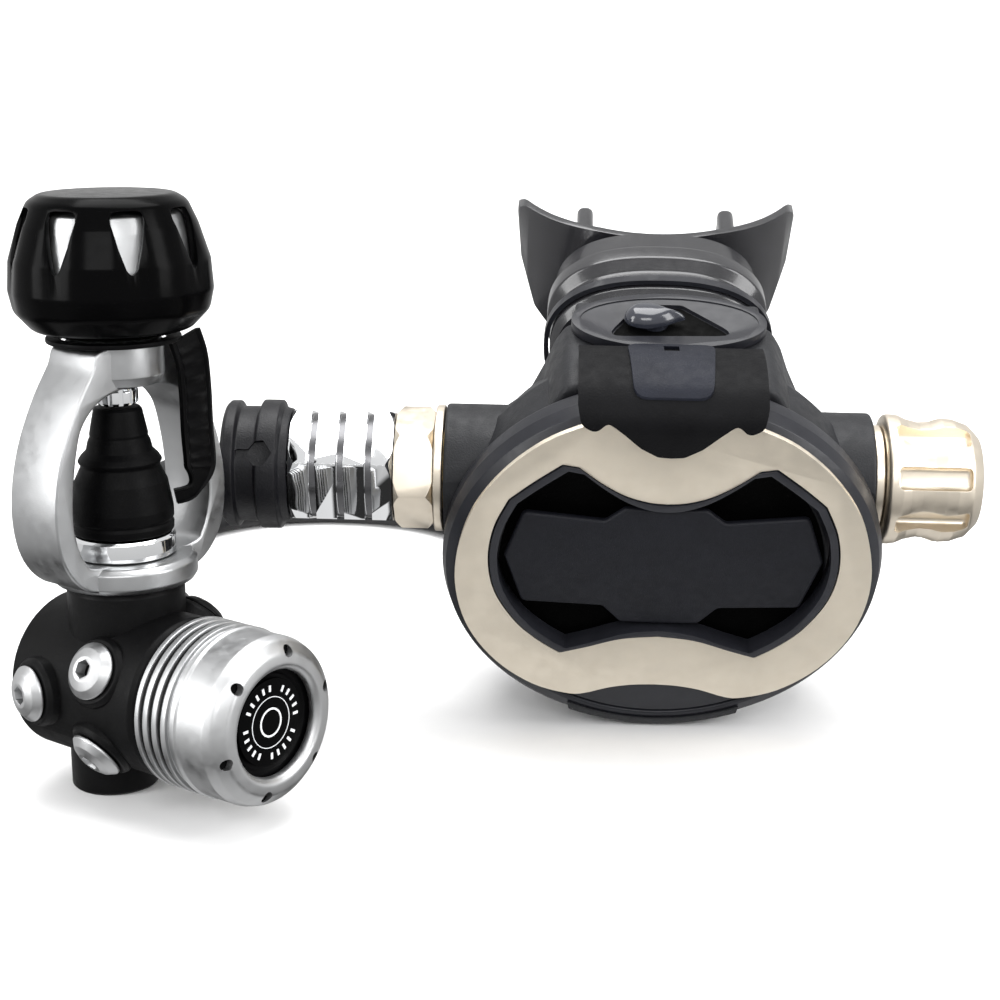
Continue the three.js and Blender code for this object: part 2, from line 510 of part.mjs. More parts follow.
add(secondStage, "adjuster_knob", knobShape(), "champagne");
const INLET_NUT_TURN = 21 * RAD; // a flat of this nut faces the front
function inletNut() {
  const hex = solid(sideways(prism(6, 23.4, -58.5, -50.1).rotateZ(INLET_NUT_TURN)));
  const rounding = [[0, -58.5], [12.2, -58.5], [13.5, -57.2], [13.5, -50.1], [0, -50.1]];
  const bore = sideways(rod(6.2, -70, -40));
  return cut(hex.intersect(solid(sideways(turned(rounding)))), bore);
}
add(secondStage, "inlet_nut", inletNut(), "champagne");

// ---- second stage: venturi switch, latch, mouthpiece and exhaust ----
function switchPlate() {
  const eye = [[-13.5, 2.4], [-8, 12], [-5, 14.8], [3, 14.8], [14.6, 3.4]];
  const oval = plate(ellipse(20.8, 10.3, ROUND.wide, 8.4), 2.2);
  const shaftHole = rod(3.3, -2, 4, ROUND.fine).translate(...LEVER_AT, 0);
  return cut(solid(oval), plate(eye, 6).translate(0, 0, 1), shaftHole);
}
add(secondStage, "switch_plate", geometryOf(switchPlate()).translate(0, 0, SHELF_Z + GAP), "plastic");
function switchLever() {
  const shaft = [[0, 14], [2.8, 14], [2.8, 35.2], [4.6, 35.3], [4.4, 37], [3, 38.2], [0, 38.4]];
  const tail = plate([[-8, 0], [-4.6, 2.8], [2, 3], [2, -3], [-4.6, -2.8]], 2.4).translate(0, 0, 35.3);
  const vane = box(14, 1.4, 7, [0, 0, 17.4]);
  return join(solid(turned(shaft, ROUND.small)), tail, vane);
}
add(secondStage, "venturi_lever", geometryOf(switchLever()).translate(...LEVER_AT, 0), "gloss");

// The latch is a saddle over the top of the cover's rim, with a point that drops into the trim's notch.
function latch() {
  const side = [[-2.1, 32.8], [-2.1, 35.4], [-13, 38], [-20, 37.2], [-24.4, 34.2], [-26, 30], [-23.9, 30],
    [-23.9, 26], [-13, 26], [-13, 32.8]];
  const halfWidth = 19.2;
  const saddle = plate(side, 2 * halfWidth).translate(0, 0, -halfWidth).rotateX(Math.PI / 2)
    .rotateZ(Math.PI / 2);
  const point = mirror([[0, 24.2], [2.9, 24.6], [6.8, 27.3], [13, 32.8], [18.6, 31.6], [halfWidth, 34],
    [0, 34]]);
  const rim = COVER[0] + 0.4;
  const coverRoom = oval([[0, -23.9], [rim, -23.9], [rim, -12.9], [0, -12.9]]);
  const trimRoom = mirror([[0, 20], [19.4, 20], [25, 31], [20, 30.6], [13.2, 32.6], [6.9, 27.1], [2.95, 24.4],
    [0, 24]]);
  return cut(join(solid(saddle), upright(plate(point, 2.1), -23.9)),
    coverRoom, upright(plate(trimRoom, 6), -22));
}
add(secondStage, "cover_latch", latch(), "plastic");

// The mouthpiece: an oval sleeve with two ribs, then a flange that curves back, and two bite tabs.
// Along the sleeve: distance back, and how far the wall stands out from the mouth tube.
const RIBS = [[38.6, 0], [41, 1.6], [44, 1.6], [46, 0], [50, 0], [53, 2.4], [57, 2.4], [59, 0.6], [66, 0.6]];
function sleeve() {
  const count = 16;
  const rows = RIBS.map(([y, out]) => ellipse(MOUTH.a + 1 + out, MOUTH.b + 1 + out, count, MOUTH.at)
    .map(([x, z]) => [x, y, z]));
  const index = [];
  for (let i = 0; i < rows.length - 1; i++) {
    for (let k = 0; k < count; k++) {
      const a = i * count + k;
      const b = i * count + ((k + 1) % count);
      index.push(a, b, a + count, b, b + count, a + count);
    }
  }
  const last = (rows.length - 1) * count;
  for (let k = 1; k < count - 1; k++) index.push(0, k + 1, k, last, last + k, last + k + 1);
  const made = new THREE.BufferGeometry();
  made.setAttribute("position", new THREE.BufferAttribute(new Float32Array(rows.flat(2)), 3));
  made.setIndex(index);
  return made;
}
const mouthOval = (more, sides = 16) => ellipse(MOUTH.a + more, MOUTH.b + more, sides, MOUTH.at);
const BREATH = { a: 15, b: 9 }; // half-width and half-height of the opening between the lips
function mouthpiece() {
  const lips = mirror([[0, 20.4], [14, 20.4], [26, 19.6], [32.6, 19.4], [34.6, 17], [33.6, 4], [30, -8],
    [24, -13.6], [12, -16.4], [0, -16.8]]);
  // The wall of an upright cylinder gives the flange its curve round the teeth.
  const arch = solid(ring(39, 41, -40, 60, ROUND.wide * 1.5)).translate([0, 107, 0]);
  const flange = arch.intersect(solid(upright(plate(lips, 40), 100)));
  const web = box(36, 4, 20, [0, 66.5, MOUTH.at]);
  const tab = (side) => box(4, 18, 12, [side * 18, 79.5, MOUTH.at + 5]);
  const socket = upright(plate(mouthOval(GAP), 20), 45);
  const breath = upright(plate(ellipse(BREATH.a, BREATH.b, 12, MOUTH.at), 60), 100);
  const inside = upright(plate(mouthOval(-3), 20), 62);
  return cut(join(solid(sleeve()), geometryOf(flange), web, tab(1), tab(-1)), socket, breath, inside);
}
add(secondStage, "mouthpiece", mouthpiece(), "silicone");
const band = upright(plate(mouthOval(4), 2.4, [mouthOval(2.9)]), 43.7);
const buckle = box(5, 3.6, 3.4, [0, 42.4, MOUTH.at - MOUTH.b - 5]);
add(secondStage, "mouthpiece_clamp", join(solid(band), buckle), "plastic");
function exhaust() {
  const wings = mirror([[0, -22], [41, -22], [45.5, -34], [43, -47], [30, -61], [0, -61]]);
  const channel = mirror([[0, -20], [39, -20], [43.3, -34], [41, -46], [29, -58.8], [0, -58.8]]);
  const caseRoom = oval([[0, -14], [45.6, -14], [45.2, 0], [41.6, 8.2], [38.4, 14.2], [31.8, 26], [31.8, 40],
    [0, 40]]);
  const tubeRoom = rod(12.4, -57, -30, ROUND.mid).translate(0, VALVE_Y, 0);
  const outlets = [-1, 1].map((side) => box(20, 8, 14, [side * 33, 28, -46]));
  return cut(solid(upright(plate(wings, 25), 28)),
    caseRoom, upright(plate(channel, 21), 26), tubeRoom, ...outlets);
}
add(secondStage, "exhaust_deflector", exhaust(), "plastic");
const flap = [[0, -0.9], [10.6, -0.9], [10.6, -GAP], [1.4, -GAP], [1.4, 6], [0, 6]];
add(secondStage, "exhaust_valve", turned(flap, ROUND.small).translate(0, VALVE_Y, SEAT_Z), "silicone");

// ---- hose ----
const NUT_X = -58.8; // where the swivel nut meets the second stage's inlet nut
const PORT_AT = HOSE_PORT.from.map((c, i) => c + unit(HOSE_PORT.way)[i] * HOSE_PORT.face);
const onBarrel = (shape) => sideways(geometryOf(shape)).translate(NUT_X, 0, 0);
const SWIVEL_NUT_TURN = 16 * RAD; // a corner of this nut faces the front
function swivelNut() {
  const rounding = [[0, -22.6], [12.4, -22.6], [13.8, -21.2], [13.8, -1.4], [12.4, 0], [0, 0]];
  const hex = solid(prism(6, 23.8, -22.6, 0).rotateZ(SWIVEL_NUT_TURN)).intersect(solid(turned(rounding)));
  const grooves = [-17.4, -11.3, -5.2].map((z) => ring(11.4, 16, z - 0.8, z + 0.8));
  return cut(hex, ...grooves, rod(6.2, -30, 10));
}
const TAIL = [[2.2, -25.6], [5.9, -25.6], [5.9, 2.4], [2.2, 2.4]];
const PROTECTOR = [[8.4, -37.4], [13.2, -37.4], [14, -36.6], [14, -34.6], [12.8, -34], [12.8, -30],
  [PROTECTOR_R, -29.4], [PROTECTOR_R, -25.2], [12.8, -24.6], [12.4, -22.9], [6.3, -22.9], [6.3, -29]];
add(hoseInlet, "hose_swivel_nut", onBarrel(swivelNut()), "chrome");
add(hoseInlet, "hose_tail", onBarrel(solid(turned(TAIL, ROUND.small))), "steel");
add(hoseInlet, "hose_protector", onBarrel(solid(turned(PROTECTOR))), "rubber");
function hoseEnd() {
  const hex = prism(6, 13.6, 0.3, 8);
  const shank = turned([[0, -5], [3.9, -5], [3.9, 1], [6.1, 7], [6.1, 19.2], [0, 19.2]], ROUND.small);
  return cut(join(solid(hex), shank), rod(2.2, -6, 21, ROUND.fine));
}
add(firstStage, "hose_end", aimed(geometryOf(hoseEnd()), HOSE_PORT.way, PORT_AT), "chrome");

// The hose's centreline, from the swivel nut to the first stage. Its middle lies on the surface.
const HOSE_PATH = [
  [26.8, 37, 61.6], [14.4, 37.9, 60.7], [1.4, 41.8, 55.8], [-10.4, 48.9, 46.4], [-19.4, 62, 33],
  [-26, 81.5, 18.6],
  [-31.5, 106, 8.8], [-36, 134, 5.3], [-38.5, 162, 5.3], [-35, 190, 5.3], [-21, 216, 5.3], [4, 233, 5.3],
  [38, 240, 5.3], [75, 242, 5.3], [112, 244, 5.3], [146, 240, 5.3], [173, 219, 5.3], [181, 186, 5.3],
  [167, 153, 5.3], [133, 138, 5.3], [99, 152, 5.3], [77, 184, 5.3], [52, 212, 5.3], [20, 221, 5.3],
  [-9, 211, 5.3], [-25.5, 184, 5.3], [-26.5, 152, 5.3], [-21.5, 124, 5.5], [-14, 100, 8.5], [-7, 79.5, 14],
  [-2.4, 64, 19.4], [-0.5, 53, 22.6], [-0.3, 44.6, 23.5],
];
const HOSE_STEPS = 44;
add(regulator, "lp_hose", swept(HOSE_PATH, HOSE_R, 8, HOSE_STEPS), "rubber");

export default regulator;
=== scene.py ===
"""Looks for the scuba regulator set. Lengths are millimetres until a mesh is made, +Z up.

Each visible piece is rebuilt finely where its CAD node lies and stands in for it. The pieces inside
keep their CAD mesh and get a finish of their own.
"""
import json
import math

import bmesh
import bpy
from mathutils import Euler, Matrix, Vector


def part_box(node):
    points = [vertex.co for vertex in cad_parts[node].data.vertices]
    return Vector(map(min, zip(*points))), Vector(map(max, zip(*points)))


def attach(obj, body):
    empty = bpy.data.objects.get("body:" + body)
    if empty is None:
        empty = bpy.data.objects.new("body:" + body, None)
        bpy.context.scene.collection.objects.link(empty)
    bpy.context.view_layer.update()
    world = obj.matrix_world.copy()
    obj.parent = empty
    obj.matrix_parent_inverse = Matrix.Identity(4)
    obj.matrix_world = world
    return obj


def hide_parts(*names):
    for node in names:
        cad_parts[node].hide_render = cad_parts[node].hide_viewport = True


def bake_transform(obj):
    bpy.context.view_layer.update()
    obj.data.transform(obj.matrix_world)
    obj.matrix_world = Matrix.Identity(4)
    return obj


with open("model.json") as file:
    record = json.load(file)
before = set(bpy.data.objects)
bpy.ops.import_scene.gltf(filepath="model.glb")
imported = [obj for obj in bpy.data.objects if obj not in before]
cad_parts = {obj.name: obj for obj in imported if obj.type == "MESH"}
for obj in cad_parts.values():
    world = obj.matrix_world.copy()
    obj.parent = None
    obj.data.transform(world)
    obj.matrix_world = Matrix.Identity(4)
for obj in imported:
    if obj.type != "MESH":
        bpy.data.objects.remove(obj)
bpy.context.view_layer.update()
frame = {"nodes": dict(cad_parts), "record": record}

MM = 0.001

# ---- where the two stages stand, as in the part ----
FIRST_TURN = math.radians(53)
SECOND_PITCH = math.radians(25)
SECOND_YAW = math.radians(-2)
SECOND_ROLL = math.radians(1)
SECOND_AT = Vector((112.7, 34, 60.1))
AXIS_Z = 23.5  # the first stage's diaphragm axis
KNOB_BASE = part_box("knob_grip")[0][2] / MM
COVER_CENTRE = -10.8
COVER_SQUASH = 46.2 / 47.6
HOSE_R = 5
FINE = 128  # points round a large turned piece
FINEST = 160

FIRST = Matrix.Rotation(FIRST_TURN, 4, "Z")
INLET = (Matrix.Translation(SECOND_AT) @ Matrix.Rotation(SECOND_YAW, 4, "Z")
         @ Matrix.Rotation(SECOND_ROLL, 4, "Y"))
SECOND = INLET @ Matrix.Rotation(SECOND_PITCH, 4, "X")
UPRIGHT = Matrix.Rotation(math.radians(90), 4, "X")  # a piece drawn in X and Y stands up in X and Z
SIDEWAYS = Matrix.Rotation(math.radians(90), 4, "Y")  # its +Z along +X
BACKWARDS = Matrix.Rotation(math.radians(-90), 4, "X")  # its +Z along +Y
DIAPHRAGM_AXIS = FIRST @ Matrix.Translation((0, 0, AXIS_Z)) @ UPRIGHT
BARREL_AXIS = SECOND @ SIDEWAYS
COVER_AXIS = SECOND @ Matrix.Translation((0, 0, COVER_CENTRE)) @ BACKWARDS
COVER_FACE = SECOND @ UPRIGHT

# ---- camera ----
TARGET = Vector((77, 34, 54))
DISTANCE = 420
ELEVATION = math.radians(14)
camera = bpy.data.objects.new("camera", bpy.data.cameras.new("camera"))
camera.data.lens = 68.04
camera.data.clip_start = 0.01
back_off = Vector((0, -math.cos(ELEVATION), math.sin(ELEVATION))) * DISTANCE
camera.location = (TARGET + back_off) * MM
camera.rotation_euler = Euler((math.pi / 2 - ELEVATION, 0, 0))
bpy.context.collection.objects.link(camera)
bpy.context.scene.camera = camera


# ---- materials ----
def finish(name, color, rough, metal=0.0, grain=(2500, 0.05), vary=0.15, scuff=0.0, coat=0.0, **extra):
    """A surface with blotches in its colour and gloss, a fine grain, and paler worn edges."""
    made = bpy.data.materials.new(name)
    made.use_nodes = True
    nodes = made.node_tree.nodes
    link = made.node_tree.links.new
    shader = nodes["Principled BSDF"]
    shader.inputs["Metallic"].default_value = metal
    shader.inputs["Coat Weight"].default_value = coat
    shader.inputs["Coat Roughness"].default_value = 0.08
    for socket, value in extra.items():
        shader.inputs[socket.replace("_", " ")].default_value = value
    place = nodes.new("ShaderNodeTexCoord")

    def noise(scale, detail):
        node = nodes.new("ShaderNodeTexNoise")
        node.inputs["Scale"].default_value = scale
        node.inputs["Detail"].default_value = detail
        link(place.outputs["Object"], node.inputs["Vector"])
        return node.outputs["Fac"]

    def remap(value, low, high, start=0.3, end=0.7):
        node = nodes.new("ShaderNodeMapRange")
        node.inputs["From Min"].default_value = start
        node.inputs["From Max"].default_value = end
        node.inputs["To Min"].default_value = low
        node.inputs["To Max"].default_value = high
        link(value, node.inputs["Value"])
        return node.outputs["Result"]

    def blend(factor, first, second):
        node = nodes.new("ShaderNodeMix")
        node.data_type = "RGBA"
        link(factor, node.inputs["Factor"])
        for socket, value in ((node.inputs["A"], first), (node.inputs["B"], second)):
            if isinstance(value, bpy.types.NodeSocket):
                link(value, socket)
            else:
                socket.default_value = (*value, 1)
        return node.outputs["Result"]

    blotch = remap(noise(140, 4), 0, 1)
    shade = blend(blotch, [c * (1 - vary) for c in color], [min(1, c * (1 + vary)) for c in color])
    if scuff:
        soft = nodes.new("ShaderNodeBevel")
        soft.samples = 4
        soft.inputs["Radius"].default_value = 0.0005
        turn = nodes.new("ShaderNodeVectorMath")
        turn.operation = "DOT_PRODUCT"
        link(soft.outputs["Normal"], turn.inputs[0])
        link(nodes.new("ShaderNodeNewGeometry").outputs["Normal"], turn.inputs[1])
        scuffed = nodes.new("ShaderNodeMath")
        scuffed.operation = "MULTIPLY"
        link(remap(turn.outputs["Value"], scuff, 0, 0.8, 0.99), scuffed.inputs[0])
        link(remap(noise(700, 3), 0, 1, 0.4, 0.65), scuffed.inputs[1])
        shade = blend(scuffed.outputs["Value"], shade, [min(1, c * 1.6 + 0.05) for c in color])
    link(shade, shader.inputs["Base Color"])
    link(remap(noise(420, 5), rough * 0.85, min(1, rough * 1.2)), shader.inputs["Roughness"])
    bump = nodes.new("ShaderNodeBump")
    bump.inputs["Strength"].default_value = grain[1]
    bump.inputs["Distance"].default_value = 0.0002
    link(noise(grain[0], 3), bump.inputs["Height"])
    link(bump.outputs["Normal"], shader.inputs["Normal"])
    return made


FINISH = {
    "satin": finish("satin_nickel", (0.42, 0.425, 0.43), 0.36, 1, (5200, 0.1), 0.03),
    "turned": finish("turned_nickel", (0.52, 0.525, 0.53), 0.4, 1, (5200, 0.05), 0.02),
    "chrome": finish("polished_chrome", (0.86, 0.87, 0.88), 0.05, 1, (900, 0.01), 0.02),
    "champagne": finish("champagne_satin", (0.87, 0.79, 0.66), 0.4, 1, (7000, 0.2), 0.04, 0.15),
    "gold": finish("champagne_turned", (0.8, 0.72, 0.6), 0.36, 1, (2500, 0.03), 0.03),
    "brass": finish("turned_brass", (0.63, 0.46, 0.2), 0.3, 1, (3000, 0.06), 0.1, 0.3),
    "steel": finish("turned_steel", (0.5, 0.51, 0.52), 0.25, 1, (3000, 0.06), 0.06, 0.3),
    # Painted shade: a dark steel laid only on the floors of the swivel nut's grooves.
    "painted_shade_steel": finish("painted_shade_steel", (0.13, 0.13, 0.135), 0.3, 1, (3000, 0.06), 0.06),
    "black_metal": finish("black_coating", (0.003, 0.003, 0.0032), 0.42, 0, (4200, 0.25), 0.2,
                          Specular_IOR_Level=0.09),
    "grained": finish("grained_plastic", (0.011, 0.0115, 0.0135), 0.5, 0, (2600, 0.5), 0.15, 0.12,
                      Specular_IOR_Level=0.28),
    "hood": finish("hood_plastic", (0.003, 0.003, 0.0036), 0.5, 0, (2600, 0.4), 0.15,
                   Specular_IOR_Level=0.08),
    "smooth": finish("smooth_plastic", (0.012, 0.0125, 0.016), 0.34, 0, (4200, 0.1), 0.12, 0.12,
                     Specular_IOR_Level=0.3),
    "tongue": finish("slate_plastic", (0.01, 0.0112, 0.017), 0.5, 0, (2600, 0.5), 0.12,
                     Specular_IOR_Level=0.14),
    "panel": finish("slate_panel", (0.005, 0.0055, 0.0085), 0.5, 0, (6500, 0.35), 0.1,
                    Specular_IOR_Level=0.22),
    "gloss": finish("gloss_black", (0.0008, 0.0008, 0.0009), 0.2, 0, (1200, 0.02), 0.1,
                    Specular_IOR_Level=0.04),
    "lever": finish("lever_gloss", (0.02, 0.022, 0.03), 0.16, 0, (1200, 0.02), 0.1, coat=0.4),
    # Painted shade: a dull flat black laid on the floors of sockets, holes and the switch's eye, and behind
    # the cover's vents.
    "painted_shade": finish("painted_shade_black", (0.001, 0.001, 0.001), 0.7, 0, (2600, 0.3), 0.2,
                   Specular_IOR_Level=0.05),
    "rubber": finish("black_rubber", (0.001, 0.001, 0.0012), 0.45, 0, (3400, 0.25), 0.2,
                     Specular_IOR_Level=0.07),
    "sleeve": finish("sleeve_rubber", (0.004, 0.004, 0.0055), 0.42, 0, (2600, 0.4), 0.2,
                     Specular_IOR_Level=0.25),
    "hose": finish("hose_rubber", (0.008, 0.008, 0.009), 0.5, 0, (2200, 0.35), 0.2, 0.1),
    "silicone": finish("gloss_silicone", (0.012, 0.012, 0.014), 0.22, 0, (2600, 0.06), 0.15, 0, 0.4),
    "filter": finish("sintered_bronze", (0.33, 0.22, 0.1), 0.8, 0.6, (2200, 0.9), 0.25),
    "print": finish("white_print", (0.62, 0.63, 0.64), 0.45, 0, (3000, 0.1), 0.05),
}


# ---- outlines ----
def mirror(half):
    """Both halves of an outline given from the middle outwards, x rising."""
    return [*half, *[(-x, y) for x, y in reversed(half[1:-1])]]


def smooth(points, steps=6, closed=True):
    """A Catmull-Rom curve through the points."""
    points = [Vector(p) for p in points]
    count = len(points)
    made = []
    for i in range(count if closed else count - 1):
        if closed:
            a, b, c, d = (points[(i + k) % count] for k in (-1, 0, 1, 2))
        else:
            a, b, c, d = (points[min(max(i + k, 0), count - 1)] for k in (-1, 0, 1, 2))
        for step in range(steps):
            t = step / steps
            made.append(0.5 * (2 * b + (c - a) * t + (2 * a - 5 * b + 4 * c - d) * t * t
                               + (3 * b - a - 3 * c + d) * t ** 3))
    return made if closed else [*made, points[-1]]


def filleted(points, radius, closed=True, steps=4):
    """The outline with each corner rounded to a radius, or less where an edge is short."""
    points = [Vector(p) for p in points]
    made = []
    for i, corner in enumerate(points):
        if not closed and i in (0, len(points) - 1):
            made.append(corner)
            continue
        before = points[i - 1] - corner
        after = points[(i + 1) % len(points)] - corner
        bend = math.pi - before.angle(after, math.pi)
        if bend < 0.06:
            made.append(corner)
            continue
        reach = min(radius * math.tan(bend / 2), 0.45 * before.length, 0.45 * after.length)
        start = corner + before.normalized() * reach
        end = corner + after.normalized() * reach
        for step in range(steps + 1):
            t = step / steps
            made.append(start * (1 - t) ** 2 + corner * 2 * t * (1 - t) + end * t * t)
    return made


def oval(a, b, count=64, centre=0.0, power=1.0):
    def bent(value):
        return math.copysign(abs(value) ** power, value)

    angles = [2 * math.pi * i / count for i in range(count)]
    return [(a * bent(math.cos(t)), centre + b * bent(math.sin(t))) for t in angles]


# ---- meshes ----
def mesh(name, vertices, faces, place):
    made = bpy.data.meshes.new(name)
    made.from_pydata([(place @ Vector(v)) * MM for v in vertices], [], faces)
    obj = bpy.data.objects.new(name, made)
    bpy.context.collection.objects.link(obj)
    work = bmesh.new()
    work.from_mesh(made)
    bmesh.ops.remove_doubles(work, verts=work.verts, dist=1e-7)
    bmesh.ops.recalc_face_normals(work, faces=work.faces)
    work.to_mesh(made)
    work.free()
    return obj


def turned(name, profile, place, radius=0.4, sides=96, wave=None, squash=1.0):
    """A piece turned about its Z from (radius, height) points. wave(angle, height) scales the radius."""
    on_axis = profile[0][0] == 0 and profile[-1][0] == 0
    line = filleted(profile, radius, closed=not on_axis)
    vertices = []
    for r, z in line:
        for k in range(sides):
            angle = 2 * math.pi * k / sides
            reach = r * (wave(angle, z) if wave else 1)
            vertices.append((reach * math.cos(angle), reach * math.sin(angle) * squash, z))
    rows = len(line) - 1 if on_axis else len(line)
    faces = []
    for i in range(rows):
        low, high = i * sides, ((i + 1) % len(line)) * sides
        for k in range(sides):
            after = (k + 1) % sides
            faces.append((low + k, low + after, high + after, high + k))
    return mesh(name, vertices, faces, place)


def slab(name, outline, low, high, place):
    """A plate of that outline in X and Y, from z = low to z = high."""
    count = len(outline)
    vertices = [(*p, low) for p in outline] + [(*p, high) for p in outline]
    faces = [tuple(range(count)), tuple(range(count, 2 * count))]
    faces += [(k, (k + 1) % count, count + (k + 1) % count, count + k) for k in range(count)]
    return mesh(name, vertices, faces, place)


def block(name, x, y, z, at, place):
    """A box of those sides about a point."""
    outline = [(at[0] + sx * x / 2, at[1] + sy * y / 2) for sx, sy in ((-1, -1), (1, -1), (1, 1), (-1, 1))]
    return slab(name, outline, at[2] - z / 2, at[2] + z / 2, place)


def lofted(name, sections, place):
    """A closed skin over sections with the same number of points, flat at both ends."""
    count = len(sections[0])
    vertices = [p for section in sections for p in section]
    faces = [tuple(range(count)), tuple(range(len(vertices) - count, len(vertices)))]
    for i in range(len(sections) - 1):
        for k in range(count):
            a, b = i * count + k, i * count + (k + 1) % count
            faces.append((a, b, b + count, a + count))
    return mesh(name, vertices, faces, place)


def applied(obj):
    """Bakes the modifiers into the mesh."""
    result = bpy.data.meshes.new_from_object(obj.evaluated_get(bpy.context.evaluated_depsgraph_get()))
    obj.modifiers.clear()
    obj.data = result
    return obj


def combined(obj, tools, operation):
    for tool in tools:
        step = obj.modifiers.new("step", "BOOLEAN")
        step.operation = operation
        step.object = tool
        step.solver = "MANIFOLD"
    applied(obj)
    for tool in tools:
        bpy.data.objects.remove(tool)
    return obj


def cut(obj, *tools):
    return combined(obj, tools, "DIFFERENCE")


def join(obj, *tools):
    return combined(obj, tools, "UNION")


def rounded(obj, width, segments=3, angle=35):
    """Rounds every edge sharper than the angle."""
    step = obj.modifiers.new("round", "BEVEL")
    step.width = width * MM
    step.segments = segments
    step.limit_method = "ANGLE"
    step.angle_limit = math.radians(angle)
    return applied(obj)


def prism(name, sides, across, low, high, place, turn=0.0):
    reach = across / 2 / math.cos(math.pi / sides)
    angles = [turn + 2 * math.pi * k / sides for k in range(sides)]
    return slab(name, [(reach * math.cos(t), reach * math.sin(t)) for t in angles], low, high, place)


def around(count, start=0.0):
    """The angles of pieces set evenly in a ring."""
    return [start + 2 * math.pi * i / count for i in range(count)]


def spun(place, angle):
    """The frame turned about its own Z."""
    return place @ Matrix.Rotation(angle, 4, "Z")


BODY_OF = {node: body for body, nodes in frame["record"]["behaviour"]["bodies"].items() for node in nodes}


def wear(obj, look, node, sharp=38, trim=False, rides=True):
    """Gives the piece its finish and its body. It stands for the node unless it is trim on it."""
    obj.data.materials.clear()
    obj.data.materials.append(FINISH[look])
    obj.data.polygons.foreach_set("use_smooth", [True] * len(obj.data.polygons))
    obj.data.set_sharp_from_angle(angle=math.radians(sharp))
    if rides:
        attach(obj, BODY_OF[node])
    if not trim:
        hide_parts(node)
    return obj


# ---- hose: the part's own route ----
HOSE_PATH = [
    (26.8, 37, 61.6), (14.4, 37.9, 60.7), (1.4, 41.8, 55.8), (-10.4, 48.9, 46.4), (-19.4, 62, 33),
    (-26, 81.5, 18.6), (-31.5, 106, 8.8), (-36, 134, 5.3), (-38.5, 162, 5.3), (-35, 190, 5.3),
    (-21, 216, 5.3), (4, 233, 5.3), (38, 240, 5.3), (75, 242, 5.3), (112, 244, 5.3), (146, 240, 5.3),
    (173, 219, 5.3), (181, 186, 5.3), (167, 153, 5.3), (133, 138, 5.3), (99, 152, 5.3), (77, 184, 5.3),
    (52, 212, 5.3), (20, 221, 5.3), (-9, 211, 5.3), (-25.5, 184, 5.3), (-26.5, 152, 5.3),
    (-21.5, 124, 5.5), (-14, 100, 8.5), (-7, 79.5, 14), (-2.4, 64, 19.4), (-0.5, 53, 22.6),
    (-0.3, 44.6, 23.5),
]
hose_line = smooth(HOSE_PATH, 8, closed=False)


def tube(name, line, radius, sides=20):
    """A round tube along a line, with flat ends."""
    sections = []
    normal = Vector((0, 0, 1))
    for i, point in enumerate(line):
        along = (line[min(i + 1, len(line) - 1)] - line[max(i - 1, 0)]).normalized()
        normal = (normal - along * normal.dot(along)).normalized()
        side = along.cross(normal)
        angles = [2 * math.pi * k / sides for k in range(sides)]
        sections.append([point + radius * (math.cos(t) * normal + math.sin(t) * side) for t in angles])
    return lofted(name, sections, Matrix.Identity(4))


hose = wear(tube("lp_hose_skin", hose_line, HOSE_R), "hose", "lp_hose", sharp=60)

# ---- first stage: yoke ----
YOKE_OUTER = [(0, 46.2), (11.6, 46.6), (17.3, 49), (21.2, 54.3), (22.7, 61.4), (22.2, 69), (20, 77),
              (16, 85.1), (11.8, 91.3), (9.4, 95.1), (0, 95.1)]
YOKE_INNER = [(0, 51.5), (12.5, 51.8), (16, 54.2), (18, 60), (18, 67.5), (16.6, 76), (14.4, 81.5),
              (9, 85.6), (0, 87)]


def yoke():
    face = FIRST @ UPRIGHT
    arms = slab("yoke_skin", smooth(mirror(YOKE_OUTER), 5), -6.8, 6.8, face)
    cut(arms, slab("window", smooth(mirror(YOKE_INNER), 5), -9, 9, face))
    rounded(arms, 1.5, 4, 50)
    base = turned("base", [(0, 46.2), (14, 46.2), (14.8, 47.4), (14.8, 50.4), (13.8, 51.5), (0, 51.5)],
                  FIRST, 0.8)
    boss = turned("boss", [(0, 87), (9, 87), (9.8, 89), (9.8, 95.3), (9, 96.1), (0, 96.1)], FIRST, 0.8)
    join(arms, base, boss)
    return cut(arms, turned("bore", [(0, 40), (8.3, 40), (8.3, 60), (0, 60)], FIRST, 0),
               turned("bore", [(0, 80), (4.7, 80), (4.7, 100), (0, 100)], FIRST, 0))


wear(yoke(), "satin", "yoke", 32)

# ---- first stage: knob, screw and pad ----
KNOB = [(0, 0), (10.7, 0), (15.8, 1.4), (19.3, 5), (20.2, 9), (19.8, 15), (17.6, 22), (15.6, 26.4),
        (13.2, 27.9), (0, 27.9)]
KNOB_HOLLOW = [(0, 25.6), (13.6, 25.6), (15.2, 24.6), (16.3, 21), (17.9, 14), (18.5, 9), (17.2, 4.5),
               (10.7, 3), (10.7, -1), (0, -1)]
KNOB_WINDOWS = 8
KNOB_PHASE = math.radians(24) - FIRST_TURN - math.pi / 2
TEAR = [(0, 13.4), (1.1, 14.6), (2.3, 18.6), (3.3, 23.4), (3, 25.2), (1.6, 25.5), (-1.6, 25.5), (-3, 25.2),
        (-3.3, 23.4), (-2.3, 18.6), (-1.1, 14.6)]


def knob_wave(angle, height):
    """Panels stand out between the windows, and fade towards the rims."""
    lobe = 0.5 + 0.5 * math.cos(KNOB_WINDOWS * (angle - KNOB_PHASE))
    fade = math.sin(math.pi * min(1, max(0, (height - 2) / 25)))
    return 1 - 0.035 * lobe ** 2 * fade


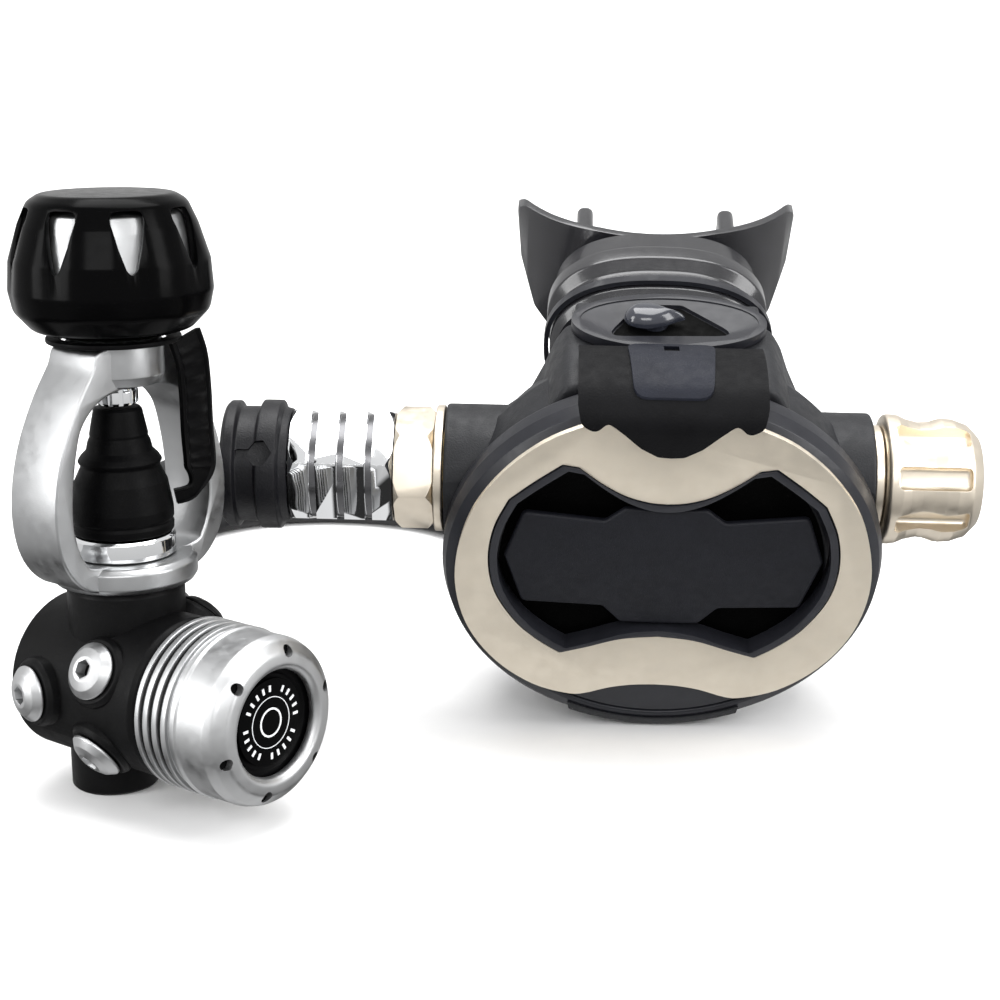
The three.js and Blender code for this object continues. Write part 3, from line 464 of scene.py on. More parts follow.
knob_place = FIRST @ Matrix.Translation((0, 0, KNOB_BASE))
knob_grip = turned("knob_grip_skin", KNOB, knob_place, 3, FINEST, knob_wave)
windows = [slab("window", filleted(TEAR, 2), 12, 24, spun(knob_place, angle) @ UPRIGHT)
           for angle in around(KNOB_WINDOWS, KNOB_PHASE + math.pi / 2)]
cut(knob_grip, turned("hollow", KNOB_HOLLOW, knob_place, 1), *windows)
wear(rounded(knob_grip, 0.3, 2), "gloss", "knob_grip")
knob_core = turned("knob_core_skin", [(0, 3.4), (10.4, 3.4), (16.8, 5.2), (18.1, 9), (17.5, 14), (15.9, 21),
                                      (14.8, 24.2), (13.2, 25.2), (0, 25.2)], knob_place, 1)
cut(knob_core, turned("bore", [(0, -9), (4.7, -9), (4.7, 19), (0, 19)], knob_place, 0),
    turned("recess", [(7, -9), (14.6, -9), (14.6, 14), (7, 14)], knob_place, 0.5))
wear(knob_core, "satin", "knob_core")


def threaded(radius, low, high, pitch=1.0, depth=0.45):
    """A screw's profile, from the axis out and back."""
    made = [(0, low), (radius - 0.6, low)]
    count = int((high - low - 1) / pitch)
    for i in range(count):
        at = low + 0.6 + i * pitch
        made += [(radius, at), (radius, at + 0.2 * pitch), (radius - depth, at + 0.6 * pitch)]
    return [*made, (radius, high), (0, high)]


screw = turned("yoke_screw_skin", threaded(4.4, 86.4, 115.3, 1.4), FIRST, 0.1, 64)
cut(screw, turned("socket", [(0, 80), (1.8, 80), (1.8, 91.5), (0, 91.5)], FIRST, 0, 48))
wear(screw, "steel", "yoke_screw")
PAD_NOTCHES = 12
pad = turned("swivel_pad_skin", [(0, 82.4), (3.6, 82.4), (4.3, 83.1), (4.3, 85.4), (3.6, 86), (1.4, 86),
                                 (1.4, 91), (0, 91)], FIRST, 0.3, 72)
cut(pad, *[block("notch", 1.4, 0.9, 3.4, (4.4, 0, 84.3), spun(FIRST, angle))
           for angle in around(PAD_NOTCHES)])
wear(pad, "chrome", "screw_swivel_pad")

# ---- first stage: inlet, dust cap and strap ----
retainer = turned("yoke_retainer_skin", [(0, 38.2), (7.6, 38.2), (8, 38.8), (8, 51.8), (10.6, 51.8),
                                         (10.6, 55.4), (10, 56), (0, 56)], FIRST, 0.3)
cut(retainer, turned("bore", [(0, 30), (4.3, 30), (4.3, 60), (0, 60)], FIRST, 0),
    turned("groove", [(5.6, 54.8), (7.4, 54.8), (7.4, 57), (5.6, 57)], FIRST, 0.1))
wear(retainer, "chrome", "yoke_retainer")
dust_cap = turned("dust_cap_skin", [
    (0, 56.4), (10.3, 56.4), (10.4, 58), (10, 58.6), (10.4, 59.2), (10.4, 61.2), (9.4, 66.8), (7.9, 70),
    (8.5, 71), (7.8, 72.1), (6.7, 73.2), (6.3, 75), (5.8, 76), (5.9, 76.5), (4.9, 81.4), (4.4, 82), (0, 82),
], FIRST, 0.5)
cut(dust_cap, turned("seat", [(0, 50), (7.6, 50), (7.6, 57.4), (0, 57.4)], FIRST, 0.2))
wear(dust_cap, "rubber", "dust_cap")

STRAP_PATH = [(10, -9.6, 95.9), (11.4, -10, 91), (12.6, -9.4, 84), (13.2, -8.9, 76), (13.4, -9.1, 69.6),
              (12.6, -9.3, 66), (10.7, -9, 63.6), (7.9, -7.4, 62.8)]


def strap():
    """A flat strap with a raised lip along both edges and raised bars between them."""
    line = smooth(STRAP_PATH, 10, closed=False)
    sections = []
    for i, point in enumerate(line):
        share = i / (len(line) - 1)
        along = (line[min(i + 1, len(line) - 1)] - line[max(i - 1, 0)]).normalized()
        narrowing = min(1, max(0, (share - 0.58) / 0.24))
        narrowing = narrowing * narrowing * (3 - 2 * narrowing)
        wide = along.cross(Vector((0, 1, 0))).normalized()
        out = wide.cross(along).normalized()
        half = 4.1 - 2.5 * narrowing
        bars = 0.12 if 0.08 < share < 0.62 and (share * 60) % 4 < 2.2 else -0.12
        across = [(-1, -0.5), (-1, 0.55), (-0.84, 0.75), (-0.7, 0.35), (-0.62, 0.5 + bars),
                  (0.62, 0.5 + bars), (0.7, 0.35), (0.84, 0.75), (1, 0.55), (1, -0.5), (0.86, -0.75),
                  (-0.86, -0.75)]
        sections.append([point + wide * half * a - out * b for a, b in across])
    band = lofted("dust_cap_strap_skin", sections, FIRST)
    return join(band, turned("ring", [(10.6, 95.4), (13.4, 95.4), (13.4, 96.4), (10.6, 96.4)], FIRST, 0.3))


wear(strap(), "rubber", "dust_cap_strap", 30)

# ---- first stage: body and plugs ----
PORTS = {
    "lp_plug_upper": ((0, -6.5, AXIS_Z), (-1, 0, 0.5), 17.4),
    "lp_plug_lower": ((0, -6.5, AXIS_Z), (-1, 0.1, -0.72), 17.4),
    "lp_plug_rear": ((0, 6.5, AXIS_Z), (-1, 0.2, 0.02), 18.2),
    "gauge_port_plug": ((0, -6, AXIS_Z), (0.78, 0, 0.62), 18.6),
}
HOSE_PORT = ((2, 2, AXIS_Z), (math.sin(FIRST_TURN), math.cos(FIRST_TURN), 0), 21.5)


def port_place(port, out=0.0):
    """A frame whose +Z runs out of the port."""
    start, way, _ = port
    turn = Vector((0, 0, 1)).rotation_difference(Vector(way)).to_matrix().to_4x4()
    return FIRST @ Matrix.Translation(Vector(start) + Vector(way).normalized() * out) @ turn


def body():
    made = turned("first_stage_body_skin", [(0, -19), (15.2, -19), (16.8, -17.4), (16.8, 17.2), (16, 18.3),
                                            (0, 18.3)], DIAPHRAGM_AXIS, 1)
    neck = turned("neck", [(0, 26), (12, 26), (12, 44.6), (11.4, 45.9), (0, 45.9)], FIRST, 0.6)
    foot = turned("foot", [(0, 0), (8.6, 0), (9.2, 0.6), (9.2, 10), (0, 10)],
                  FIRST @ Matrix.Translation((0, 6, 0)), 0.6)
    ports = [*PORTS.values(), HOSE_PORT]
    bosses = [turned("boss", [(0, 4), (7.2, 4), (7.2, face - 1), (6.6, face), (0, face)],
                     port_place((start, way, face)), 0.6, 64) for start, way, face in ports]
    join(made, neck, foot, *bosses)
    bores = [turned("bore", [(0, face - 7), (4.2, face - 7), (4.2, face + 9), (0, face + 9)],
                    port_place((start, way, face)), 0, 48) for start, way, face in ports]
    chambers = [turned("bore", [(0, low), (r, low), (r, high), (0, high)], place, 0, 64)
                for r, low, high, place in ((8.3, 37.8, 60, FIRST), (2.6, AXIS_Z, 38.5, FIRST),
                                            (12.6, 11.4, 30, DIAPHRAGM_AXIS), (1.6, -3, 14, DIAPHRAGM_AXIS),
                                            (6.3, -30, 0, DIAPHRAGM_AXIS))]
    return cut(made, *bores, *chambers)


wear(body(), "black_metal", "first_stage_body", 32)
for name, port in PORTS.items():
    place = port_place(port, port[2])
    plug = turned(f"{name}_skin", [(0, -5), (3.5, -5), (3.9, -4.5), (3.9, 0.3), (5.8, 0.3), (5.8, 0.9),
                                   (4.4, 2.2), (2.6, 2.9), (0, 2.9)], place, 0.5, 72)
    cut(plug, prism("key", 6, 3.4, 0.4, 4, place))
    # A painted-shade plate on the floor of each plug's hex socket.
    wear(prism("plug_socket_shade", 6, 3.2, 0.42, 0.5, place), "painted_shade", name, trim=True)
    wear(rounded(plug, 0.12, 2), "black_metal" if name == "gauge_port_plug" else "turned", name)
rear_plug = turned("rear_plug_skin", [(0, -22.6), (9.4, -22.6), (10.2, -21.6), (10.2, -19.3), (6, -19.3),
                                      (6, -12), (0, -12)], DIAPHRAGM_AXIS, 0.5)
cut(rear_plug, prism("key", 6, 6, -24, -20.4, DIAPHRAGM_AXIS),
    turned("guide", [(0, -17), (3.3, -17), (3.3, -11), (0, -11)], DIAPHRAGM_AXIS, 0, 48))
wear(rear_plug, "black_metal", "rear_plug")

# ---- first stage: diaphragm end ----
GROOVES = [21.2 + 2.5 * step for step in range(4)]
clamp_side = [point for at in GROOVES
              for point in ((17.5, at), (16.7, at + 0.1), (16.7, at + 1.1), (17.5, at + 1.2))]
clamp = turned("diaphragm_clamp_skin", [
    (9.6, 14.4), (12.2, 14.4), (12.2, 18.6), (15.4, 18.6), (17.5, 20.2), *clamp_side[:-1], (16.7, 30.5),
    (9.6, 30.5)], DIAPHRAGM_AXIS, 0.2, FINE)
wear(clamp, "turned", "diaphragm_clamp", 30)
# Painted shade: dark rings in three of the grooves, standing in for the shade of deep narrow grooves.
for at in GROOVES[:3]:
    wear(turned("groove_shade_ring", [(16.5, at + 0.15), (17.05, at + 0.15), (17.05, at + 1.05), (16.5, at + 1.05)],
                DIAPHRAGM_AXIS, 0.2, FINE), "black_metal", "diaphragm_clamp", trim=True)
seal_cap = turned("seal_cap_skin", [(13.6, 30.8), (17.7, 30.8), (17.2, 31.5), (17.2, 38.4), (16.6, 40.4),
                                    (14.4, 42.2), (12, 42.5), (11, 41.7), (10.8, 39.9), (13.6, 39.9)],
                  DIAPHRAGM_AXIS, 2, FINE)
CAP_HOLES = 6
CAP_HOLE_PHASE = math.radians(16)
hole_places = [spun(DIAPHRAGM_AXIS, angle) @ Matrix.Translation((14.6, 0, 0))
               for angle in around(CAP_HOLES, CAP_HOLE_PHASE)]
cut(seal_cap, *[turned("hole", [(0, 40.6), (1.2, 40.6), (1.2, 50), (0, 50)], place, 0, 32)
                for place in hole_places])
wear(seal_cap, "turned", "seal_cap", 34)
# Painted shade: a black disc on the floor of each hole in the cap.
for place in hole_places:
    wear(turned("hole_floor_shade", [(0, 40.62), (1.15, 40.62), (1.15, 40.7), (0, 40.7)], place, 0, 32),
         "painted_shade", "seal_cap", trim=True)
wear(turned("seal_diaphragm_skin", [(0, 38.1), (13.2, 38.1), (13.2, 39.5), (10.2, 39.5), (9.6, 39.1),
                                    (0, 39.1)], DIAPHRAGM_AXIS, 0.3), "rubber", "seal_diaphragm")
wear(turned("badge_disc_skin", [(0, 39.4), (8.9, 39.4), (8.9, 40), (0, 40.1)], DIAPHRAGM_AXIS, 0.1),
     "gloss", "badge_disc")


def badge_marks():
    """Generic print on the disc: a ring of short bars round two plain circles."""
    def printed(profile):
        return turned("badge_marks", profile, DIAPHRAGM_AXIS, 0)

    made = printed([(5.1, 40), (5.25, 40), (5.25, 40.14), (5.1, 40.14)])
    rings = [printed([(2.6, 40), (3.0, 40), (3.0, 40.16), (2.6, 40.16)])]
    bars = [block("bar", 1.3, 0.55, 0.12, (7, 0, 40.1), spun(DIAPHRAGM_AXIS, angle))
            for i, angle in enumerate(around(24)) if i % 6 != 5]
    return join(made, *rings, *bars)


wear(badge_marks(), "print", "badge_disc", trim=True)

# ---- second stage: case ----
MOUTH = (23, 15, 5)  # half-width, half-height and height of the mouth tube
VALVE_Y = 12
SEAT_Z = -54.6
SHELF_Z = 32.4
LEVER_AT = (-3, 8.4)
CASE = [(45, -13), (44.6, 0), (41, 8), (37.8, 14), (31.4, 25.5), (26, 30.5)]
SHOULDERS = mirror([(0, -8), (44, -8), (36.6, 8.5), (29.8, 14.4), (26.4, 22), (24.4, 27.6), (21.6, SHELF_Z),
                    (0, SHELF_Z)])
TUBE_END = 45.2


def mouth_oval(more, count=64, power=1.0):
    return oval(MOUTH[0] + more, MOUTH[1] + more, count, MOUTH[2], power)


def case():
    made = turned("second_stage_case_skin", [(0, -13), *CASE, (0, 30.5)], COVER_AXIS, 3, FINE,
                  squash=COVER_SQUASH)
    saddle = rounded(slab("saddle", filleted(SHOULDERS, 9, steps=6), -11, 13, COVER_FACE), 1.2, 3, 50)
    shelf = rounded(block("shelf", 40, 21, 8, (0, 8.5, SHELF_Z - 4), SECOND), 1, 3)
    tube = slab("mouth", mouth_oval(0), -44, -10, COVER_FACE)
    cross = turned("cross", [(0, -47.6), (14.4, -47.6), (14.4, TUBE_END), (0, TUBE_END)], BARREL_AXIS, 0.8)
    below = SECOND @ Matrix.Translation((0, VALVE_Y, 0))
    exhaust = turned("exhaust", [(0, SEAT_Z), (12, SEAT_Z), (12, -30), (0, -30)], below, 0.4, 64)
    join(made, saddle, shelf, tube, cross, exhaust)
    inside = turned("inside", [(0, -20), (36, -20), (36, -11), (42.2, -10), (42, 0), (38.4, 7.6), (35, 13.6),
                               (28.8, 23.6), (24, 28), (0, 28)], COVER_AXIS, 1, squash=COVER_SQUASH)
    over_shelf = block("over", 80, 40, 20, (0, 0, SHELF_Z + 10), SECOND)
    in_front = block("front", 120, 20, 120, (0, -23, 0), SECOND)
    breath = slab("breath", mouth_oval(-2.4), -60, -20, COVER_FACE)
    bore = turned("bore", [(0, -60), (10.3, -60), (10.3, 60), (0, 60)], BARREL_AXIS, 0)
    lever_bore = turned("bore", [(0, 20), (3.2, 20), (3.2, 60), (0, 60)],
                        SECOND @ Matrix.Translation((*LEVER_AT, 0)), 0, 48)
    outlet = turned("outlet", [(0, -70), (9.4, -70), (9.4, -40), (0, -40)], below, 0, 64)
    cut(made, inside, over_shelf, in_front, breath, bore, lever_bore, outlet)
    join(made, block("spider", 21, 3, 1.8, (0, VALVE_Y, SEAT_Z + 2), SECOND))
    return cut(made, turned("stem", [(0, -60), (1.8, -60), (1.8, -40), (0, -40)], below, 0, 32))


wear(case(), "grained", "second_stage_case", 30)

# ---- second stage: cover ----
cover = turned("front_cover_skin", [
    (42.4, -23.6), (44.8, -22.9), (46.7, -21), (47.6, -18), (47.6, -14.4), (46.4, -13.3), (38, -13.3),
    (38, -15.9), (35.6, -15.9), (35.6, -16.9), (8, -16.9), (8, -17.8), (35.6, -17.8), (41.2, -20.4),
    (41.2, -23.6)], COVER_AXIS, 0.7, FINEST, squash=COVER_SQUASH)


def vent(angle):
    """A round hole through the cover's inner plate, off its middle at that angle."""
    turn = Matrix.Translation((0, 0, COVER_CENTRE)) @ Matrix.Rotation(angle, 4, "Y")
    place = SECOND @ turn @ Matrix.Translation((0, 0, 22)) @ UPRIGHT
    return turned("vent", [(0, 10), (8, 10), (8, 18.6), (0, 18.6)], place, 0, 64)


wear(cut(cover, *[vent(angle) for angle in around(6)]), "smooth", "front_cover", 34)

# Each outline is a run of smooth stretches that meet at corners.
TRIM_OUTER = [[(0, 23.8), (2.6, 24), (6, 26), (9.6, 29.4), (13.5, 32.2)],
              [(13.5, 32.2), (18, 31), (26, 26.6), (34, 19), (40.4, 9), (43.9, -3), (44.3, -14), (41.6, -25),
               (35.6, -34.6), (27.4, -41.4), (19, -44.2), (14.6, -43.6)],
              [(14.6, -43.6), (10, -41.9), (5, -40.9), (0, -40.6)]]
TRIM_INNER = [[(0, 11.5), (4, 11.9), (9, 13.6), (14, 16.8), (18.6, 20.7)],
              [(18.6, 20.7), (22, 21.3)],
              [(22, 21.3), (28, 16.4), (33, 11.8)],
              [(33, 11.8), (36.2, 4), (37.4, -5), (36, -14), (31.6, -22.4), (26.6, -27.8), (21.6, -31.6)],
              [(21.6, -31.6), (16, -29.8), (8, -27), (0, -26)]]
PURGE = [(0, 8.6), (8.6, 8.9), (12.6, 5.4), (30, 7.4), (34, -4.6), (30.2, -17.6), (12.6, -18.4),
         (8.6, -23), (0, -23.2)]
PANEL_MIDDLE = Vector((0, -5))


def curved(stretches):
    """Both halves of an outline of smooth stretches, its corners kept."""
    half = [p for run in stretches for p in smooth(run, 5, closed=False)[1:]]
    return mirror([Vector(stretches[0][0]), *half])


def shrunk(outline, by):
    """The outline drawn in towards the panel's middle by a distance."""
    away = [Vector(p) - PANEL_MIDDLE for p in outline]
    return [PANEL_MIDDLE + v * (1 - by / v.length) for v in away]


opening = filleted(curved(TRIM_INNER), 1.2)
trim = slab("cover_trim_skin", curved(TRIM_OUTER), 23.9, 25.1, COVER_FACE)
cut(trim, slab("opening", opening, 20, 30, COVER_FACE))
wear(rounded(trim, 0.45, 4), "champagne", "cover_trim", 30)

bezel = slab("cover_frame_skin", oval(40.7, 39.4, FINE, COVER_CENTRE), 20.7, 23.4, COVER_FACE)
join(bezel, slab("rim", shrunk(opening, 0.4), 22.4, 25.4, COVER_FACE))
cut(bezel, slab("hole", shrunk(opening, 2), 15, 30, COVER_FACE),
    slab("slot", [(-9, 23), (-9, 40), (9, 40), (9, 23)], 22.6, 24.6, COVER_FACE))
wear(rounded(bezel, 0.3, 3), "smooth", "cover_frame", 30)

# Painted shade: a black disc behind the cover's inner plate, seen through its vents.
web = turned("cover_web_shade", [(7.4, -18.1), (35.2, -18.1), (35.2, -18), (7.4, -18)], COVER_AXIS, 0, FINE,
             squash=COVER_SQUASH)
wear(web, "painted_shade", "front_cover", trim=True)

panel = slab("purge_button_skin", filleted(mirror(PURGE), 1.6), 22.2, 24, COVER_FACE)
rounded(panel, 0.7, 4)
join(panel, turned("plunger", [(0, 17.1), (6.8, 17.1), (6.8, 22.4), (0, 22.4)],
                   COVER_FACE @ Matrix.Translation((0, COVER_CENTRE, 0)), 0.3, 64))
wear(panel, "panel", "purge_button", 30)

# The spring behind the button: a coil of wire that rides no body.
SPRING_SEAT = -18.1
SPRING_TOP = -21.9
SPRING_R = 9.4
SPRING_WIRE = 0.5
SPRING_TURNS = 2
COIL_STEPS = 96


def coil_point(step):
    share = step / COIL_STEPS
    angle = 2 * math.pi * SPRING_TURNS * share
    height = SPRING_SEAT - SPRING_WIRE + (SPRING_TOP - SPRING_SEAT + 2 * SPRING_WIRE) * share
    return COVER_AXIS @ Vector((SPRING_R * math.cos(angle), SPRING_R * math.sin(angle), height))


coil_line = [coil_point(step) for step in range(COIL_STEPS + 1)]
purge_spring = tube("purge_spring_skin", coil_line, SPRING_WIRE, 10)
wear(purge_spring, "steel", "purge_spring", 60, rides=False)
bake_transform(purge_spring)

# ---- second stage: along the barrel ----
SLOTS = 8
SLOT_PHASE = math.radians(6)
adjuster = turned("adjuster_knob_skin", [
    (0, 47.7), (12.4, 47.7), (14.3, 48.2), (14.3, 51), (13.4, 53), (12.8, 55.6), (13, 58), (13.8, 60.4),
    (13.6, 63), (12.4, 66.4), (9.8, 68.9), (0, 69.6)], BARREL_AXIS, 1.4, FINEST)
slots = [rounded(block("slot", 6, 5, 16, (13.4, 0, 58), spun(BARREL_AXIS, angle)), 1.2, 4)
         for angle in around(SLOTS, SLOT_PHASE)]
cut(adjuster, turned("bore", [(0, 40), (2.9, 40), (2.9, 59.8), (0, 59.8)], BARREL_AXIS, 0, 48), *slots)
wear(rounded(adjuster, 0.45, 3), "gold", "adjuster_knob", 34)
wear(turned("adjuster_collar_skin", [(3, 34.8), (5.8, 34.8), (5.8, 42.1), (9.9, 42.1), (9.9, 45.5),
                                     (11.8, 45.5), (11.8, 47.4), (3, 47.4)], BARREL_AXIS, 0.3),
     "gold", "adjuster_collar")
wear(turned("inlet_washer_skin", [(10.3, -49.8), (14, -49.8), (14, -47.9), (10.3, -47.9)], BARREL_AXIS, 0.4),
     "gold", "inlet_washer")


def hex_nut(name, across, low, high, chamfer, place, turn=0.0):
    """A hexagon whose corners are turned down at both ends."""
    reach = across / 2 / math.cos(math.pi / 6)
    made = prism(name, 6, across, low, high, place, turn)
    limit = turned("limit", [(0, low), (reach - chamfer, low), (reach, low + chamfer),
                             (reach, high - chamfer), (reach - chamfer, high), (0, high)], place, 0.2)
    return combined(made, [limit], "INTERSECT")


inlet_nut = hex_nut("inlet_nut_skin", 23.4, -58.5, -50.1, 1.3, BARREL_AXIS, math.radians(21))
cut(inlet_nut, turned("bore", [(0, -70), (6.2, -70), (6.2, -40), (0, -40)], BARREL_AXIS, 0))
wear(rounded(inlet_nut, 0.3, 3), "gold", "inlet_nut", 32)

NUT_PLACE = INLET @ Matrix.Translation((-58.8, 0, 0)) @ SIDEWAYS
swivel = hex_nut("hose_swivel_nut_skin", 23.8, -22.6, 0, 1.4, NUT_PLACE, math.radians(16))
RING_GROOVES = (-17.4, -11.3, -5.2)
grooves = [turned("groove", [(11.4, z - 0.8), (16, z - 0.8), (16, z + 0.8), (11.4, z + 0.8)], NUT_PLACE, 0)
           for z in RING_GROOVES]
cut(swivel, *grooves, turned("bore", [(0, -30), (6.2, -30), (6.2, 10), (0, 10)], NUT_PLACE, 0))
wear(rounded(swivel, 0.3, 3), "chrome", "hose_swivel_nut", 32)
# Painted shade: a dark steel band on the floor of each groove in the swivel nut.
for z in RING_GROOVES:
    groove_floor_shade = [(11, z - 0.7), (11.5, z - 0.7), (11.5, z + 0.7), (11, z + 0.7)]
    wear(turned("groove_floor_shade", groove_floor_shade, NUT_PLACE, 0), "painted_shade_steel", "hose_swivel_nut", trim=True)
wear(turned("hose_tail_skin", [(2.2, -25.6), (5.9, -25.6), (5.9, 2.4), (2.2, 2.4)], NUT_PLACE, 0.3, 64),
     "steel", "hose_tail")

protector = turned("hose_protector_skin", [
    (8.4, -37.4), (13.2, -37.4), (14, -36.6), (14, -34.6), (12.8, -34), (12.8, -30), (14.3, -29.4),
    (14.3, -25.2), (12.8, -24.6), (12.4, -22.9), (6.3, -22.9), (6.3, -29)], NUT_PLACE, 0.5, FINE)
KEYHOLE = [(-4.6, -1), (-1.8, -1), (-0.6, -2.6), (1.6, -2.9), (3.6, 0), (1.6, 2.9), (-0.6, 2.6), (-1.8, 1),
           (-4.6, 1)]
facing = (INLET @ Matrix.Translation((-58.8 - 29.4, 0, 0)) @ Matrix.Rotation(math.radians(-22), 4, "X")
          @ UPRIGHT)
cut(protector, rounded(slab("keyhole", filleted(KEYHOLE, 0.6), 12, 18, facing), 0.2, 2))
wear(protector, "sleeve", "hose_protector")

hose_end_place = port_place(HOSE_PORT, HOSE_PORT[2])
hose_end = hex_nut("hose_end_skin", 13.6, 0.3, 8, 0.8, hose_end_place)
join(hose_end, turned("shank", [(0, -5), (3.9, -5), (3.9, 1), (6.1, 7), (6.1, 19.2), (0, 19.2)],
                      hose_end_place, 0.4, 64))
cut(hose_end, turned("bore", [(0, -6), (2.2, -6), (2.2, 21), (0, 21)], hose_end_place, 0, 32))
wear(rounded(hose_end, 0.2, 2), "chrome", "hose_end")

# ---- second stage: switch and latch ----
shelf_place = SECOND @ Matrix.Translation((0, 0, SHELF_Z + 0.3))
switch = slab("switch_plate_skin", oval(20.8, 10.3, 96, 8.4), 0, 2.2, shelf_place)
eye = filleted([(-13.5, 2.4), (-8, 12), (-5, 14.8), (3, 14.8), (14.6, 3.4)], 2)
cut(switch, slab("eye", eye, 1, 7, shelf_place), slab("rim", oval(19, 8.6, 96, 8.4), 1.9, 4, shelf_place),
    turned("bore", [(0, -2), (3.3, -2), (3.3, 4), (0, 4)],
           shelf_place @ Matrix.Translation((*LEVER_AT, 0)), 0, 48))
wear(rounded(switch, 0.2, 2), "smooth", "switch_plate", 30)
# Painted shade: a black floor in the eye's recess.
eye_floor_shade = filleted([(-13.1, 2.6), (-7.8, 11.8), (-4.9, 14.5), (2.8, 14.5), (14, 3.6)], 1.8)
wear(slab("eye_floor_shade", eye_floor_shade, 1.02, 1.1, shelf_place), "painted_shade", "switch_plate", trim=True)

lever_place = SECOND @ Matrix.Translation((*LEVER_AT, 0))
LEVER_TOP = [(-6.6, 0), (-5.4, 2.7), (-2, 3.9), (1.6, 2.9), (4.4, 1.2), (6.4, 0)]


def teardrop(scale, height):
    """The lever's outline, drawn in towards the thick end as it rises."""
    outline = smooth([*LEVER_TOP, *[(x, -y) for x, y in reversed(LEVER_TOP[1:-1])]], 6)
    return [(-2 + (p.x + 2) * scale, p.y * scale, height) for p in outline]


lever = turned("venturi_lever_skin", [(0, 14), (2.8, 14), (2.8, 35.4), (0, 35.4)], lever_place, 0.3, 64)
dome = [teardrop(math.sqrt(1 - (k / 7) ** 2), 35.2 + 3.2 * k / 7) for k in range(7)]
join(lever, lofted("dome", dome, lever_place), block("vane", 14, 1.4, 7, (0, 0, 17.4), lever_place))
wear(lever, "lever", "venturi_lever", 40)

LATCH_HALF = 19.2
TONGUE_HALF = 9.4
LATCH_TOP = [(-2.1, 35.2), (-7, 36.9), (-13, 37.7), (-19, 37), (-23.4, 34.6), (-25.6, 31.4), (-26, 28)]
TONGUE_TOP = [(-1.6, 35.8), (-7, 37.6), (-13, 38.4), (-19, 37.8), (-22.6, 35.8)]
ACROSS = SECOND @ Matrix.Rotation(math.radians(90), 4, "Z") @ UPRIGHT  # an outline in Y and Z


def latch():
    """A domed hood whose front comes down to a rounded point over the trim."""
    side = [(-13, 26), (-13, 32.8), (-2.1, 32.8), *smooth(LATCH_TOP, 5, closed=False), (-26, 24)]
    made = slab("cover_latch_skin", side, -LATCH_HALF, LATCH_HALF, ACROSS)
    outline = mirror([(0, 24.2), (2.7, 24.4), (6.2, 26.5), (9.8, 29.9), (13, 32.4), (15.4, 30), (18.4, 31.6),
                      (19.2, 35), (18.8, 60), (0, 60)])
    combined(made, [slab("hood", filleted(outline, 2.4), 0, 40, COVER_FACE)], "INTERSECT")
    rounded(made, 0.7, 4, 50)
    cover_room = [(0, -23.9), (42.6, -23.9), (45.1, -23.2), (47, -21.2), (47.9, -18), (47.9, -12.9),
                  (0, -12.9)]
    return cut(made, turned("cover_room", cover_room, COVER_AXIS, 0, FINE, squash=COVER_SQUASH))


def tongue():
    """The tab that lifts to let the cover turn off, with a square hole near its top."""
    top = smooth(TONGUE_TOP, 5, closed=False)
    under = [(y, z - 1.2) for y, z in reversed(top)]
    made = slab("latch_tongue", [*top, *under], -TONGUE_HALF, TONGUE_HALF, ACROSS)
    outline = filleted(mirror([(0, -21.8), (8, -21.8), (9.2, -2.2), (0, -2.2)]), 3)
    combined(made, [slab("outline", outline, 30, 45, SECOND)], "INTERSECT")
    rounded(made, 0.4, 3, 50)
    return cut(made, block("hole", 3.2, 3, 20, (0, -5.4, 36), SECOND))


wear(latch(), "hood", "cover_latch", 30)
wear(tongue(), "tongue", "cover_latch", 30, trim=True)

# ---- second stage: mouthpiece ----
RIBS = [(38.6, 0), (40.4, 1.6), (44.4, 1.6), (46, 0), (50, 0), (52.4, 2.4), (57.4, 2.4), (59, 0.6), (66, 0.6)]
LIPS = mirror([(0, 20.4), (14, 20.4), (26, 19.6), (32.6, 19.4), (34.6, 17), (33.6, 4), (30, -8), (24, -13.6),
               (12, -16.4), (0, -16.8)])


def mouthpiece():
    profile = filleted(RIBS, 1.2, closed=False)
    sections = [[(x, y, z) for x, z in mouth_oval(1 + out, 96, 0.82)] for y, out in profile]
    made = lofted("mouthpiece_skin", sections, SECOND)
    arch_place = SECOND @ Matrix.Translation((0, 107, 0))
    flange = turned("flange", [(39, -40), (41, -40), (41, 60), (39, 60)], arch_place, 0, 192)
    lips = slab("lips", filleted(LIPS, 2.5), -100, -60, COVER_FACE)
    combined(flange, [lips], "INTERSECT")
    rounded(flange, 0.7, 4, 50)
    web = block("web", 36, 4, 20, (0, 66.5, MOUTH[2]), SECOND)
    tabs = [rounded(block("tab", 4, 18, 12, (side * 17.6, 79.5, MOUTH[2] + 5), SECOND), 1.6, 5)
            for side in (-1, 1)]
    join(made, flange, web, *tabs)
    return cut(made, slab("socket", mouth_oval(0.3), -45, -25, COVER_FACE),
               slab("breath", oval(15, 9, 48, MOUTH[2]), -100, -40, COVER_FACE),
               slab("inside", mouth_oval(-3), -62, -42, COVER_FACE))


wear(mouthpiece(), "silicone", "mouthpiece", 40)
tie = slab("mouthpiece_clamp_skin", mouth_oval(4, 96, 0.82), -43.7, -41.3, COVER_FACE)
cut(tie, slab("hole", mouth_oval(2.9, 96, 0.82), -46, -38, COVER_FACE))
join(tie, rounded(block("buckle", 5, 3.6, 3.4, (0, 42.4, MOUTH[2] - MOUTH[1] - 5), SECOND), 0.5))
wear(rounded(tie, 0.25, 2), "smooth", "mouthpiece_clamp")

# ---- second stage: exhaust ----
WINGS = mirror([(0, -22), (41, -22), (45.5, -34), (43, -47), (30, -61), (0, -61)])
CHANNEL = mirror([(0, -20), (39, -20), (43.3, -34), (41, -46), (29, -58.8), (0, -58.8)])


